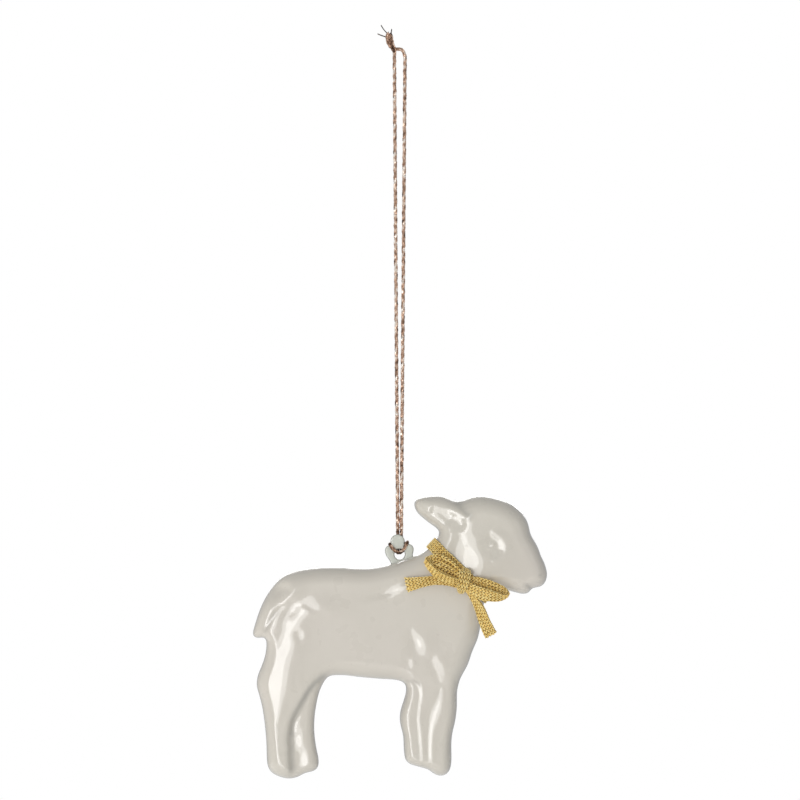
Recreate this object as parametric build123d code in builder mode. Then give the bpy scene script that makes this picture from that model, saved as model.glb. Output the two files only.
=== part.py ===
from build123d import *
import math
import os

# Hanging lamb ornament: two stamped and enamelled half shells closed on a flat
# seam, a lobed hanging eye held in that seam, a twine loop hitched round the
# eye's top lobe, and a knitted ribbon tied in a bow round the neck.
#
# Millimetres. Origin: inner top of the twine loop, where a hook carries it.
# +X towards the nose, +Z up, -Y towards the face that carries the bow.

os.makedirs("parts", exist_ok=True)

# ---- driving dimensions ----------------------------------------------------
WALL = 0.5              # sheet thickness of each stamped half
HEAD_WALL = 0.576       # thicker at the head, so that the lamb hangs level
TORSO_DEPTH = 5.25      # seam plane to the flat of the flank, half way along it
TORSO_SLOPE = 0.021     # the flank stands out more at the shoulder than at the rump
TORSO_MIDDLE = -8.5     # X where the flank has its mean depth
HEAD_DEPTH = 6.0        # seam plane to the cheek
FORE_NEAR_DEPTH = 4.1   # seam plane to the near front leg
FORE_FAR_DEPTH = 3.3    # and to the far one, embossed beside it
HIND_NEAR_DEPTH = 3.4
HIND_FAR_DEPTH = 2.7
EAR_DEPTH = 2.4
TAIL_DEPTH = 2.0

TAB = 0.9               # eyelet plate thickness, enamel included
HOLE = (0.03, -125.80)  # hanging hole centre
HOLE_R = 1.30
RING_R = 2.30           # plate left round the hole
TOP_LOBE = (-0.45, -122.62, 1.83)
LEFT_LOBE = (-2.20, -125.90, 1.42)
RIGHT_LOBE = (2.12, -124.95, 1.36)

TWINE_R = 0.45          # metallic twine, half its diameter
LEG_X = 0.47            # half the spacing of the two strands at the hitch
ARM_Y = 0.97            # strand centre to seam plane where it lies on the eyelet
TURN_Z = -116.80        # twine twists above this height
TIP_Z = -117.70         # fore and aft tipping pivot
SWING_Z = -118.90       # rocking pivot
GAP = 0.20              # half the gap left at a twine pivot

RIBBON_T = 0.6          # ribbon thickness
RIBBON_W = 4.2          # ribbon width
BAND_Y = HEAD_DEPTH + 0.05     # ribbon's inner face in front of the neck

# ---- raised areas of the stamping: closed outlines (X, Z) on the seam plane --
TORSO = [
    (-16.88, -128.88), (-12.38, -129.05), (-7.38, -129.07), (-3.38, -128.50),
    (0.12, -127.57), (3.62, -126.12), (6.88, -124.45), (9.62, -122.75),
    (12.62, -122.12), (15.88, -122.50), (18.88, -124.25), (20.88, -127.25),
    (21.92, -131.00), (21.88, -135.00), (21.17, -138.50), (20.45, -142.50),
    (19.58, -146.50), (18.50, -149.50), (17.38, -152.50), (15.88, -155.75),
    (14.12, -158.50), (11.38, -160.25), (7.62, -160.75), (3.88, -159.75),
    (0.62, -157.75), (-2.38, -156.97), (-6.12, -156.88), (-9.88, -156.45),
    (-13.38, -156.00), (-16.38, -156.25), (-18.62, -158.00), (-21.62, -160.75),
    (-25.12, -163.25), (-29.12, -164.62), (-32.62, -163.75), (-34.62, -161.50),
    (-35.55, -158.75), (-35.30, -156.00), (-34.38, -153.50), (-33.53, -150.68),
    (-33.12, -147.75), (-32.75, -143.50), (-31.88, -138.75), (-30.12, -134.00),
    (-27.62, -130.57), (-24.88, -129.68), (-21.12, -129.07),
]
HEAD = [
    (22.62, -111.28), (25.62, -112.15), (28.38, -113.53), (30.62, -115.50),
    (32.03, -118.00), (32.88, -121.00), (34.12, -123.25), (35.07, -125.50),
    (36.20, -128.05), (36.78, -130.38), (36.50, -132.38), (35.38, -133.88),
    (33.12, -135.00), (30.62, -135.57), (27.88, -135.15), (24.88, -134.25),
    (21.88, -132.88), (18.12, -131.00), (14.38, -128.25), (11.62, -125.00),
    (10.12, -121.75), (10.12, -118.00), (11.62, -114.50), (14.12, -112.40),
    (16.88, -111.67), (19.62, -111.12),
]
EAR = [
    (3.92, -112.38), (6.38, -111.30), (9.12, -110.95), (11.88, -111.45),
    (14.62, -112.75), (15.88, -115.25), (15.38, -118.25), (13.62, -120.25),
    (11.62, -120.50), (9.62, -119.62), (7.62, -118.05), (5.62, -116.50),
    (4.12, -115.00), (3.70, -113.62),
]
TAIL = [
    (-32.12, -134.65), (-33.38, -136.57), (-34.28, -138.50), (-35.08, -140.50),
    (-35.88, -142.62), (-36.40, -144.50), (-36.30, -146.00), (-35.25, -146.80),
    (-33.62, -146.55), (-31.62, -145.25), (-29.12, -143.00), (-26.62, -140.50),
    (-24.62, -137.75), (-23.88, -134.75), (-24.88, -131.75), (-27.12, -130.50),
    (-29.00, -131.45), (-30.62, -132.80),
]
HIND_NEAR = [
    (-29.12, -154.25), (-32.12, -156.75), (-33.88, -160.25), (-34.12, -163.75),
    (-33.83, -167.00), (-33.47, -170.25), (-33.25, -173.75), (-33.15, -177.25),
    (-32.38, -179.88), (-30.38, -181.25), (-27.88, -181.82), (-25.75, -181.25),
    (-24.88, -179.25), (-24.88, -175.25), (-25.12, -171.25), (-24.50, -167.25),
    (-22.88, -162.75), (-22.88, -158.25), (-25.62, -154.75),
]
HIND_FAR = [
    (-20.62, -152.25), (-23.38, -156.25), (-25.75, -161.50), (-27.12, -166.75),
    (-27.88, -172.25), (-27.75, -176.50), (-26.38, -179.25), (-23.88, -180.57),
    (-21.88, -180.15), (-20.50, -179.07), (-20.20, -177.50), (-20.50, -175.50),
    (-20.90, -173.00), (-21.17, -170.25), (-21.30, -167.25), (-21.08, -164.25),
    (-20.30, -160.95), (-18.75, -157.62), (-17.38, -154.88), (-18.12, -152.25),
]
FORE_NEAR = [
    (11.88, -153.50), (9.62, -156.50), (8.88, -160.25), (8.38, -164.25),
    (7.50, -168.25), (7.12, -172.25), (7.17, -176.25), (7.88, -179.50), (9.62, -181.00),
    (11.62, -180.70), (12.83, -179.00), (12.92, -176.00), (13.03, -172.25),
    (13.62, -168.62), (14.25, -165.00), (14.30, -161.25), (14.67, -158.25),
    (14.12, -155.00),
]
FORE_FAR = [
    (6.12, -152.75), (2.62, -155.75), (1.67, -159.25), (1.10, -162.25), (0.33, -165.00),
    (0.10, -167.50), (0.67, -170.25), (1.00, -173.50), (1.42, -176.62), (2.88, -178.38),
    (5.38, -179.12), (7.88, -179.32), (10.12, -178.00), (10.88, -175.00),
    (11.00, -171.00), (11.38, -167.00), (11.62, -163.00), (11.62, -159.00),
    (10.62, -155.25), (8.62, -152.75),
]

# outline, depth from the seam plane, rounding of its edge, slope of its face,
# wall thickness
ZONES = [
    (HEAD, HEAD_DEPTH, 2.8, 0, HEAD_WALL),
    (EAR, EAR_DEPTH, 1.2, 0, WALL),
    (TORSO, TORSO_DEPTH, 3.2, TORSO_SLOPE, WALL),
    (FORE_FAR, FORE_FAR_DEPTH, 1.6, 0, WALL),
    (FORE_NEAR, FORE_NEAR_DEPTH, 1.8, 0, WALL),
    (HIND_FAR, HIND_FAR_DEPTH, 1.5, 0, WALL),
    (HIND_NEAR, HIND_NEAR_DEPTH, 1.9, 0, WALL),
    (TAIL, TAIL_DEPTH, 1.1, 0, WALL),
]
# the rounded edge in four facets: how far out, and how far in from the outline,
# both as shares of the rounding
EDGE = [(1.0, 0.0), (0.62, 0.10), (0.25, 0.38), (0.0, 0.90)]

# ---- ribbon outlines (X, Z) --------------------------------------------------
KNOT = [
    (14.75, -129.50), (16.38, -129.20), (17.62, -130.38), (17.58, -132.50),
    (16.75, -134.75), (15.50, -135.32), (14.20, -134.43), (14.53, -131.75),
]
LOOP_LEFT = [
    (14.75, -130.50), (12.12, -128.62), (9.62, -126.95), (7.62, -126.05),
    (6.45, -126.50), (6.33, -127.62), (7.12, -129.38), (8.50, -131.00),
    (10.62, -132.00), (12.88, -132.75), (14.75, -133.12), (15.50, -131.88),
]
LOOP_RIGHT = [
    (17.12, -131.38), (19.88, -131.20), (22.62, -131.95), (25.12, -133.20),
    (27.03, -134.55), (27.30, -135.75), (26.25, -136.75), (24.50, -137.32),
    (21.88, -137.15), (19.12, -136.38), (17.00, -134.75), (16.25, -133.00),
]
TAIL_LEFT = [
    (1.33, -131.43), (5.83, -131.22), (10.12, -131.12), (15.12, -132.12),
    (15.62, -134.25), (14.22, -133.95), (10.60, -133.20), (6.78, -133.57),
    (4.10, -134.38), (2.17, -135.05),
]
TAIL_RIGHT = [
    (16.25, -134.25), (16.78, -135.25), (18.25, -138.30), (19.40, -141.95),
    (20.75, -146.15), (21.70, -146.90), (24.17, -145.20), (23.03, -143.28),
    (21.12, -139.25), (19.12, -135.75),
]
NAPE = (8.40, -123.60)      # where the band crosses the nape
THROAT = (22.00, -136.75)   # where it crosses the throat


def inset(points, amount):
    """A closed outline moved inwards by amount along its own normals."""
    n = len(points)
    area = sum(
        points[i][0] * points[(i + 1) % n][1] - points[(i + 1) % n][0] * points[i][1]
        for i in range(n)
    )
    side = 1 if area > 0 else -1
    moved = []
    for i in range(n):
        (ax, az), (bx, bz) = points[i - 1], points[(i + 1) % n]
        length = math.hypot(bx - ax, bz - az)
        moved.append(
            (
                points[i][0] - side * (bz - az) / length * amount,
                points[i][1] + side * (bx - ax) / length * amount,
            )
        )
    return moved


def pressing(points, depth, rounding, slope):
    """One raised area of the stamping, from the seam plane out to its depth."""
    with BuildPart() as raised:
        with BuildSketch(Plane.XZ):
            with BuildLine():
                Polyline(*points, close=True)
            make_face()
        for back, shrink in EDGE:
            level = Plane(
                origin=(TORSO_MIDDLE * slope * slope, -depth + back * rounding + TORSO_MIDDLE * slope, 0),
                x_dir=(1, -slope, 0),
                z_dir=(-slope, -1, 0),
            )
            with BuildSketch(level):
                with BuildLine():
                    Polyline(*inset(points, shrink * rounding), close=True)
                make_face()
        loft(ruled=True)
    return raised.part


def pad(points, near, far, radius, smooth=True):
    """A ribbon solid between two distances in front of the seam plane."""
    with BuildPart() as body:
        with BuildSketch(Plane.XZ.offset(near)):
            with BuildLine():
                if smooth:
                    Spline(*points, periodic=True)
                else:
                    Polyline(*points, close=True)
            make_face()
        extrude(amount=far - near)
        if radius:
            fillet(body.faces().sort_by(Axis.Y)[0].edges(), radius=radius)
    return body.part


def tube(points, radii, start):
    """Round twine along straight runs joined by tangent arcs."""
    with BuildPart() as body:
        with BuildLine() as path:
            if len(points) > 2:
                FilletPolyline(*points, radius=radii)
            else:
                Line(*points)
        with BuildSketch(start):
            Circle(TWINE_R)
        sweep()
    length = path.wire().length if len(points) > 2 else math.dist(*points)
    print(
        "twine run %.1f mm, radii %s, volume %.2f against %.2f"
        % (length, radii, body.part.volume, math.pi * TWINE_R**2 * length)
    )
    return body.part


# ---- hanging eyelet: flat lobed plate with a tang between the two shells -----
with BuildPart() as eyelet:
    with BuildSketch(Plane.XZ.offset(-TAB / 2)):
        for x, z, r in (TOP_LOBE, LEFT_LOBE, RIGHT_LOBE):
            with Locations((x, z)):
                Circle(r)
        with Locations(HOLE):
            Circle(RING_R)
        with BuildLine():
            Polyline((-2.3, -127.2), (-2.3, -131.4), (2.9, -131.4), (3.1, -126.0), (0, -126.4), close=True)
        make_face()
        with Locations(HOLE):
            Circle(HOLE_R, mode=Mode.SUBTRACT)
    extrude(amount=TAB)
eyelet.part.label = "eyelet"
export_step(eyelet.part, "parts/eyelet.step")

# ---- stamped half shells -----------------------------------------------------
outer_areas = [
    pressing(points, depth, rounding, slope)
    for points, depth, rounding, slope, wall in ZONES
]
inner_areas = [
    pressing(inset(points, wall), depth - wall, rounding - 0.4, slope)
    for points, depth, rounding, slope, wall in ZONES
]

with BuildPart() as outside:
    for area in outer_areas:
        add(area)

with BuildPart() as hollow:
    for area in inner_areas:
        add(area)

with BuildPart() as front_shell:
    add(outside.part)
    add(hollow.part, mode=Mode.SUBTRACT)
    add(eyelet.part, mode=Mode.SUBTRACT)
front_shell.part.label = "front_shell"
export_step(front_shell.part, "parts/front_shell.step")

with BuildPart() as back_shell:
    mirror(front_shell.part, about=Plane.XZ)
back_shell.part.label = "back_shell"
export_step(back_shell.part, "parts/back_shell.step")

with BuildPart() as back_outside:
    mirror(outside.part, about=Plane.XZ)

# ---- ribbon: band round the neck, then the bow tied over it ------------------
reach = math.hypot(THROAT[0] - NAPE[0], THROAT[1] - NAPE[1])
along = ((THROAT[0] - NAPE[0]) / reach, (THROAT[1] - NAPE[1]) / reach)
middle = ((THROAT[0] + NAPE[0]) / 2, (THROAT[1] + NAPE[1]) / 2)
band_plane = Plane(
    origin=(middle[0], 0, middle[1]),
    x_dir=(along[0], 0, along[1]),
    z_dir=(-along[1], 0, along[0]),
)

with BuildPart() as ribbon_collar:
    with BuildSketch(band_plane.offset(-RIBBON_W / 2)):
        RectangleRounded(reach + 2 * RIBBON_T, 2 * (BAND_Y + RIBBON_T), 3.9)
        RectangleRounded(reach, 2 * BAND_Y, 3.3, mode=Mode.SUBTRACT)
    extrude(amount=RIBBON_W)
    add(outside.part, mode=Mode.SUBTRACT)
    add(back_outside.part, mode=Mode.SUBTRACT)
ribbon_collar.part.label = "ribbon_collar"
export_step(ribbon_collar.part, "parts/ribbon_collar.step")

KNOT_NEAR = BAND_Y + RIBBON_T
knot_body = pad(KNOT, KNOT_NEAR, KNOT_NEAR + 2.7, 0.8)
with BuildPart() as bow_knot:
    add(knot_body)
bow_knot.part.label = "bow_knot"
export_step(bow_knot.part, "parts/bow_knot.step")

loop_body_left = pad(LOOP_LEFT, KNOT_NEAR + 0.1, KNOT_NEAR + 2.0, 0.6)
with BuildPart() as bow_loop_left:
    add(loop_body_left)
    add(knot_body, mode=Mode.SUBTRACT)
bow_loop_left.part.label = "bow_loop_left"
export_step(bow_loop_left.part, "parts/bow_loop_left.step")

loop_body_right = pad(LOOP_RIGHT, KNOT_NEAR + 0.1, KNOT_NEAR + 2.2, 0.6)
with BuildPart() as bow_loop_right:
    add(loop_body_right)
    add(knot_body, mode=Mode.SUBTRACT)
bow_loop_right.part.label = "bow_loop_right"
export_step(bow_loop_right.part, "parts/bow_loop_right.step")

tail_body_left = pad(TAIL_LEFT, BAND_Y, BAND_Y + RIBBON_T, 0, smooth=False)
with BuildPart() as bow_tail_left:
    add(tail_body_left)
    add(ribbon_collar.part, mode=Mode.SUBTRACT)
bow_tail_left.part.label = "bow_tail_left"
export_step(bow_tail_left.part, "parts/bow_tail_left.step")

tail_body_right = pad(TAIL_RIGHT, BAND_Y, BAND_Y + RIBBON_T, 0, smooth=False)
with BuildPart() as bow_tail_right:
    add(tail_body_right)
    add(ribbon_collar.part, mode=Mode.SUBTRACT)
bow_tail_right.part.label = "bow_tail_right"
export_step(bow_tail_right.part, "parts/bow_tail_right.step")

# ---- twine: top knot, two taut strands, short flexing necks and the hitch ----
with BuildPart() as twine_knot:
    with BuildSketch(Plane.XZ):
        with BuildLine():
            Polyline((-1.62, -0.30), (-2.45, 4.45))
            Spline(
                (-2.45, 4.45),
                (-1.80, 4.30),
                (-1.40, 2.60),
                (-1.02, 1.40),
                (-0.85, 0.50),
                (-1.62, -0.30),
            )
        make_face()
    revolve(axis=Axis((-1.62, 0, -0.30), (-0.83, 0, 4.75)))
twine_knot.part.label = "twine_knot"
export_step(twine_knot.part, "parts/twine_knot.step")

left_run = tube(
    [(-1.28, 0, -0.35), (-LEG_X, 0, TURN_Z)],
    (),
    Plane(origin=(-1.28, 0, -0.35), z_dir=(1.28 - LEG_X, 0, TURN_Z + 0.35)),
)
with BuildPart() as twine_strand_left:
    add(left_run)
    add(twine_knot.part, mode=Mode.SUBTRACT)
twine_strand_left.part.label = "twine_strand_left"
export_step(twine_strand_left.part, "parts/twine_strand_left.step")

right_run = tube(
    [(-1.05, 0, 0.45), (1.40, 0, 0.85), (LEG_X, 0, TURN_Z)],
    (1.15,),
    Plane(origin=(-1.05, 0, 0.45), z_dir=(2.45, 0, 0.40)),
)
with BuildPart() as twine_strand_right:
    add(right_run)
    add(twine_knot.part, mode=Mode.SUBTRACT)
twine_strand_right.part.label = "twine_strand_right"
export_step(twine_strand_right.part, "parts/twine_strand_right.step")

# three loose filaments of the twine's cut ends
ENDS = [
    ((-2.95, 0.10, 4.20), (-4.55, 0.35, 6.30)),
    ((-3.05, -0.20, 3.35), (-5.50, -0.45, 4.25)),
    ((-2.15, 0.05, 4.62), (-1.95, 0.15, 5.50)),
]
with BuildPart() as twine_ends:
    for a, b in ENDS:
        with BuildSketch(Plane(origin=a, z_dir=(b[0] - a[0], b[1] - a[1], b[2] - a[2]))):
            Circle(0.14)
        extrude(amount=math.dist(a, b))
    add(twine_knot.part, mode=Mode.SUBTRACT)
twine_ends.part.label = "twine_ends"
export_step(twine_ends.part, "parts/twine_ends.step")

with BuildPart() as twine_neck_upper:
    with BuildSketch(Plane.XY.offset(TURN_Z)):
        with Locations((-LEG_X, 0), (LEG_X, 0)):
            Circle(TWINE_R)
    extrude(amount=TIP_Z + GAP - TURN_Z)
twine_neck_upper.part.label = "twine_neck_upper"
export_step(twine_neck_upper.part, "parts/twine_neck_upper.step")

with BuildPart() as twine_neck_lower:
    with BuildSketch(Plane.XY.offset(TIP_Z - GAP)):
        with Locations((-LEG_X, 0), (LEG_X, 0)):
            Circle(TWINE_R)
    extrude(amount=SWING_Z + GAP - TIP_Z + GAP)
twine_neck_lower.part.label = "twine_neck_lower"
export_step(twine_neck_lower.part, "parts/twine_neck_lower.step")

# hitch: both strands pass down behind the top lobe, come forward through the
# hole, part round the lobe to its notches and meet behind the strands
HITCH = [
    (-LEG_X, 0.0, SWING_Z - GAP),
    (-LEG_X, 0.0, SWING_Z - GAP - 0.45),
    (-LEG_X, ARM_Y, SWING_Z - GAP - 1.45),
    (-LEG_X, ARM_Y, -125.15),
    (-LEG_X, -ARM_Y, -125.15),
    (-2.58, -ARM_Y, -123.60),
    (-2.58, 1.90, -123.60),
    (0.0, 1.90, -123.35),
]
HITCH_RIGHT = [
    (LEG_X, 0.0, SWING_Z - GAP),
    (LEG_X, 0.0, SWING_Z - GAP - 0.45),
    (LEG_X, ARM_Y, SWING_Z - GAP - 1.45),
    (LEG_X, ARM_Y, -125.15),
    (LEG_X, -ARM_Y, -125.15),
    (1.93, -ARM_Y, -123.08),
    (1.93, 1.90, -123.08),
    (0.0, 1.90, -123.35),
]
half_left = tube(HITCH, (0.6, 0.6, 0.47, 0.47, 0.47, 0.47), Plane.XY.offset(SWING_Z - GAP).shift_origin((-LEG_X, 0, SWING_Z - GAP)))
half_right = tube(HITCH_RIGHT, (0.6, 0.6, 0.47, 0.47, 0.47, 0.47), Plane.XY.offset(SWING_Z - GAP).shift_origin((LEG_X, 0, SWING_Z - GAP)))
with BuildPart() as twine_hitch:
    add(half_left)
    add(half_right)
twine_hitch.part.label = "twine_hitch"
export_step(twine_hitch.part, "parts/twine_hitch.step")
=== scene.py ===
import math

import bpy
import numpy as np
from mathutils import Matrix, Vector, geometry


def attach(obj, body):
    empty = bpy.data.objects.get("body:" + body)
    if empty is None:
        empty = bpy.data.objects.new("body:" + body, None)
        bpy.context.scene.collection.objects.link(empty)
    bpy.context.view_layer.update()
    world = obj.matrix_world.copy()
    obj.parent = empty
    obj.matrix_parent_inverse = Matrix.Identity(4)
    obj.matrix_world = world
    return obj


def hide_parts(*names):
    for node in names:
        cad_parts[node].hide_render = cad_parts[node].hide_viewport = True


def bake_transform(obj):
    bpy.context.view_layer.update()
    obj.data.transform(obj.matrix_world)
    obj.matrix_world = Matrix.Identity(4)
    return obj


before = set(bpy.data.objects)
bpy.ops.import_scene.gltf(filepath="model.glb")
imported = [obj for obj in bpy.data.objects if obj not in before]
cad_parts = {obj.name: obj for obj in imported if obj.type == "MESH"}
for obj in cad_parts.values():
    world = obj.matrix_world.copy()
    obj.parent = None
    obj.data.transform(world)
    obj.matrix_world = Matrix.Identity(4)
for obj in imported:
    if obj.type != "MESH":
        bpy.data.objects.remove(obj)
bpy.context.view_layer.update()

# Hanging lamb ornament. All shapes are worked out in millimetres and written in metres.
# Frame: origin at the inner top of the twine loop, +X to the nose, +Z up, -Y to the viewer.

MM = 0.001
PX = 0.25  # one unit of the measured outlines, in millimetres


def flat(points):
    """Measured outline units to X and Z in millimetres."""
    p = np.asarray(points, float)
    return np.stack([(p[:, 0] - 399.5) * PX, -(p[:, 1] - 51.0) * PX], 1)


def space(points):
    """Measured outline units and a depth in millimetres to X, Y and Z in millimetres."""
    p = np.asarray(points, float)
    return np.stack([(p[:, 0] - 399.5) * PX, p[:, 2], -(p[:, 1] - 51.0) * PX], 1)


# ---------------------------------------------------------------- camera ----
cam_data = bpy.data.cameras.new("camera")
cam = bpy.data.objects.new("camera", cam_data)
bpy.context.scene.collection.objects.link(cam)
CAM_DISTANCE = 1.15
cam.location = (0.5 * PX * MM, -CAM_DISTANCE, -349.0 * PX * MM)
cam.rotation_euler = (math.radians(90), 0, 0)
cam_data.sensor_width = 36
cam_data.lens = 36 * CAM_DISTANCE / (800 * PX * MM)
cam_data.clip_start = 0.05
cam_data.clip_end = 20
cam_data.dof.use_dof = False
bpy.context.scene.camera = cam

# ------------------------------------------------------------- mesh tools ----


def make_object(name, verts_mm, faces, smooth=True, attributes=None):
    mesh = bpy.data.meshes.new(name)
    verts = np.asarray(verts_mm, float) * MM
    if isinstance(faces, np.ndarray):
        n, k = faces.shape
        mesh.vertices.add(len(verts))
        mesh.vertices.foreach_set("co", verts.astype(np.float32).ravel())
        mesh.loops.add(n * k)
        mesh.loops.foreach_set("vertex_index", faces.astype(np.int32).ravel())
        mesh.polygons.add(n)
        mesh.polygons.foreach_set("loop_start", np.arange(0, n * k, k, dtype=np.int32))
        mesh.update(calc_edges=True)
        mesh.validate()
    else:
        mesh.from_pydata([tuple(v) for v in verts], [], faces)
        mesh.update()
    mesh.polygons.foreach_set("use_smooth", np.full(len(mesh.polygons), smooth, dtype=bool))
    for key, values in (attributes or {}).items():
        layer = mesh.attributes.new(key, "FLOAT", "POINT")
        layer.data.foreach_set("value", np.asarray(values, np.float32))
    obj = bpy.data.objects.new(name, mesh)
    bpy.context.scene.collection.objects.link(obj)
    return obj


def closed_spline(points, step):
    """A smooth closed curve through points, sampled about every step."""
    p = np.asarray(points, float)
    n = len(p)
    chord = np.sqrt(np.linalg.norm(np.roll(p, -1, 0) - p, axis=1))
    chord = np.maximum(chord, 1e-6)
    h = chord
    a = np.zeros((n, n))
    b = np.zeros((n, p.shape[1]))
    for i in range(n):
        j, k = (i - 1) % n, (i + 1) % n
        a[i, j] += h[j]
        a[i, i] += 2 * (h[j] + h[i])
        a[i, k] += h[i]
        b[i] = 6 * ((p[k] - p[i]) / h[i] - (p[i] - p[j]) / h[j])
    m = np.linalg.solve(a, b)
    dense = []
    for i in range(n):
        k = (i + 1) % n
        t = np.linspace(0, h[i], 24, endpoint=False)[:, None]
        s = h[i] - t
        dense.append(
            m[i] * s**3 / (6 * h[i])
            + m[k] * t**3 / (6 * h[i])
            + (p[i] / h[i] - m[i] * h[i] / 6) * s
            + (p[k] / h[i] - m[k] * h[i] / 6) * t
        )
    dense = np.concatenate(dense)
    return resample_closed(dense, step)


def resample_closed(dense, step):
    loop = np.concatenate([dense, dense[:1]])
    run = np.concatenate([[0], np.cumsum(np.linalg.norm(np.diff(loop, axis=0), axis=1))])
    count = int(round(run[-1] / step))
    at = np.linspace(0, run[-1], count, endpoint=False)
    return np.stack([np.interp(at, run, loop[:, c]) for c in range(dense.shape[1])], 1)


def smooth_closed(p, sigma, step):
    """Gaussian smoothing of a closed, evenly sampled curve."""
    k = int(4 * sigma / step) + 1
    w = np.exp(-0.5 * (np.arange(-k, k + 1) * step / sigma) ** 2)
    w /= w.sum()
    out = np.zeros_like(p)
    for o, f in zip(range(-k, k + 1), w):
        out += f * np.roll(p, o, 0)
    return out


def open_spline(points, step):
    """A smooth open curve through points in any dimension, evenly sampled."""
    p = np.asarray(points, float)
    n = len(p)
    if n == 2:
        count = max(2, int(np.linalg.norm(p[1] - p[0]) / step) + 1)
        t = np.linspace(0, 1, count)[:, None]
        return p[0] * (1 - t) + p[1] * t
    h = np.maximum(np.sqrt(np.linalg.norm(np.diff(p[:, :3] if p.shape[1] >= 3 else p, axis=0), axis=1)), 1e-6)
    a = np.zeros((n, n))
    b = np.zeros((n, p.shape[1]))
    a[0, 0] = a[-1, -1] = 1
    for i in range(1, n - 1):
        a[i, i - 1] = h[i - 1]
        a[i, i] = 2 * (h[i - 1] + h[i])
        a[i, i + 1] = h[i]
        b[i] = 6 * ((p[i + 1] - p[i]) / h[i] - (p[i] - p[i - 1]) / h[i - 1])
    m = np.linalg.solve(a, b)
    dense = []
    for i in range(n - 1):
        t = np.linspace(0, h[i], 32, endpoint=False)[:, None]
        s = h[i] - t
        dense.append(
            m[i] * s**3 / (6 * h[i])
            + m[i + 1] * t**3 / (6 * h[i])
            + (p[i] / h[i] - m[i] * h[i] / 6) * s
            + (p[i + 1] / h[i] - m[i + 1] * h[i] / 6) * t
        )
    dense = np.concatenate(dense + [p[-1:]])
    run = np.concatenate([[0], np.cumsum(np.linalg.norm(np.diff(dense[:, :3], axis=0), axis=1))])
    count = max(4, int(round(run[-1] / step)) + 1)
    at = np.linspace(0, run[-1], count)
    return np.stack([np.interp(at, run, dense[:, c]) for c in range(dense.shape[1])], 1)


def nearest_on(points, loop):
    """Distance from each point to a closed polygon, and the nearest point on it."""
    a = loop
    b = np.roll(loop, -1, 0)
    d = b - a
    dd = (d * d).sum(1)
    dist = np.empty(len(points))
    near = np.empty((len(points), 2))
    for start in range(0, len(points), 1500):
        p = points[start : start + 1500]
        t = ((p[:, None, :] - a[None]) * d[None]).sum(2) / dd[None]
        np.clip(t, 0, 1, out=t)
        q = a[None] + t[..., None] * d[None]
        e = ((p[:, None, :] - q) ** 2).sum(2)
        i = e.argmin(1)
        r = np.arange(len(p))
        dist[start : start + 1500] = np.sqrt(e[r, i])
        near[start : start + 1500] = q[r, i]
    return dist, near


def is_inside(points, loop):
    a = loop
    b = np.roll(loop, -1, 0)
    inside = np.zeros(len(points), bool)
    for start in range(0, len(points), 3000):
        p = points[start : start + 3000]
        y = p[:, 1][:, None]
        cross = (a[None, :, 1] > y) != (b[None, :, 1] > y)
        with np.errstate(divide="ignore", invalid="ignore"):
            x = a[None, :, 0] + (y - a[None, :, 1]) / (b[None, :, 1] - a[None, :, 1]) * (b[None, :, 0] - a[None, :, 0])
        inside[start : start + 3000] = (cross & (p[:, 0][:, None] < x)).sum(1) % 2 == 1
    return inside


def inward_normals(loop):
    d = np.roll(loop, -1, 0) - np.roll(loop, 1, 0)
    d /= np.linalg.norm(d, axis=1)[:, None]
    area = 0.5 * (loop[:, 0] * np.roll(loop[:, 1], -1) - np.roll(loop[:, 0], -1) * loop[:, 1]).sum()
    n = np.stack([-d[:, 1], d[:, 0]], 1)
    return n if area > 0 else -n


def plate_points(loops, rings, spacing, inside_of, dense=()):
    """Points of a sheet bounded by closed loops: the loops, inset rings and an inner lattice."""
    every = np.concatenate(loops)
    points = [every]
    counts = [len(l) for l in loops]
    for d in rings:
        for l, loop in enumerate(loops):
            n = inward_normals(loop)
            if l > 0:
                n = -n  # a hole's own inside is outside the sheet
            p = loop + n * d
            keep = np.ones(len(p), bool)
            for other in loops:
                dist, _ = nearest_on(p, other)
                keep &= dist > d - 0.012
            p = p[keep]
            picked = []
            last = None
            for q in p:
                if last is None or (q[0] - last[0]) ** 2 + (q[1] - last[1]) ** 2 > (0.45 * spacing) ** 2:
                    picked.append(q)
                    last = q
            if picked:
                points.append(np.array(picked))
    lo, hi = every.min(0), every.max(0)
    xs = np.arange(lo[0], hi[0], spacing)
    ys = np.arange(lo[1], hi[1], spacing * 0.866)
    grid = np.stack(np.meshgrid(xs, ys), 2)
    grid[1::2, :, 0] += spacing / 2
    grid = grid.reshape(-1, 2)
    for cx, cy, radius in dense:
        small = 0.5 * spacing
        fx, fy = np.meshgrid(np.arange(cx - radius, cx + radius, small), np.arange(cy - radius, cy + radius, small * 0.866))
        fx[1::2] += small / 2
        fine = np.stack([fx.ravel(), fy.ravel()], 1)
        fine = fine[np.hypot(fine[:, 0] - cx, fine[:, 1] - cy) < radius]
        grid = np.concatenate([grid[np.hypot(grid[:, 0] - cx, grid[:, 1] - cy) > radius + 0.35 * spacing], fine])
    grid = grid[inside_of(grid)]
    keep = np.ones(len(grid), bool)
    for loop in loops:
        dist, _ = nearest_on(grid, loop)
        keep &= dist > (rings[-1] if len(rings) else 0) + 0.6 * spacing
    points.append(grid[keep])
    return np.concatenate(points), counts


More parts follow.
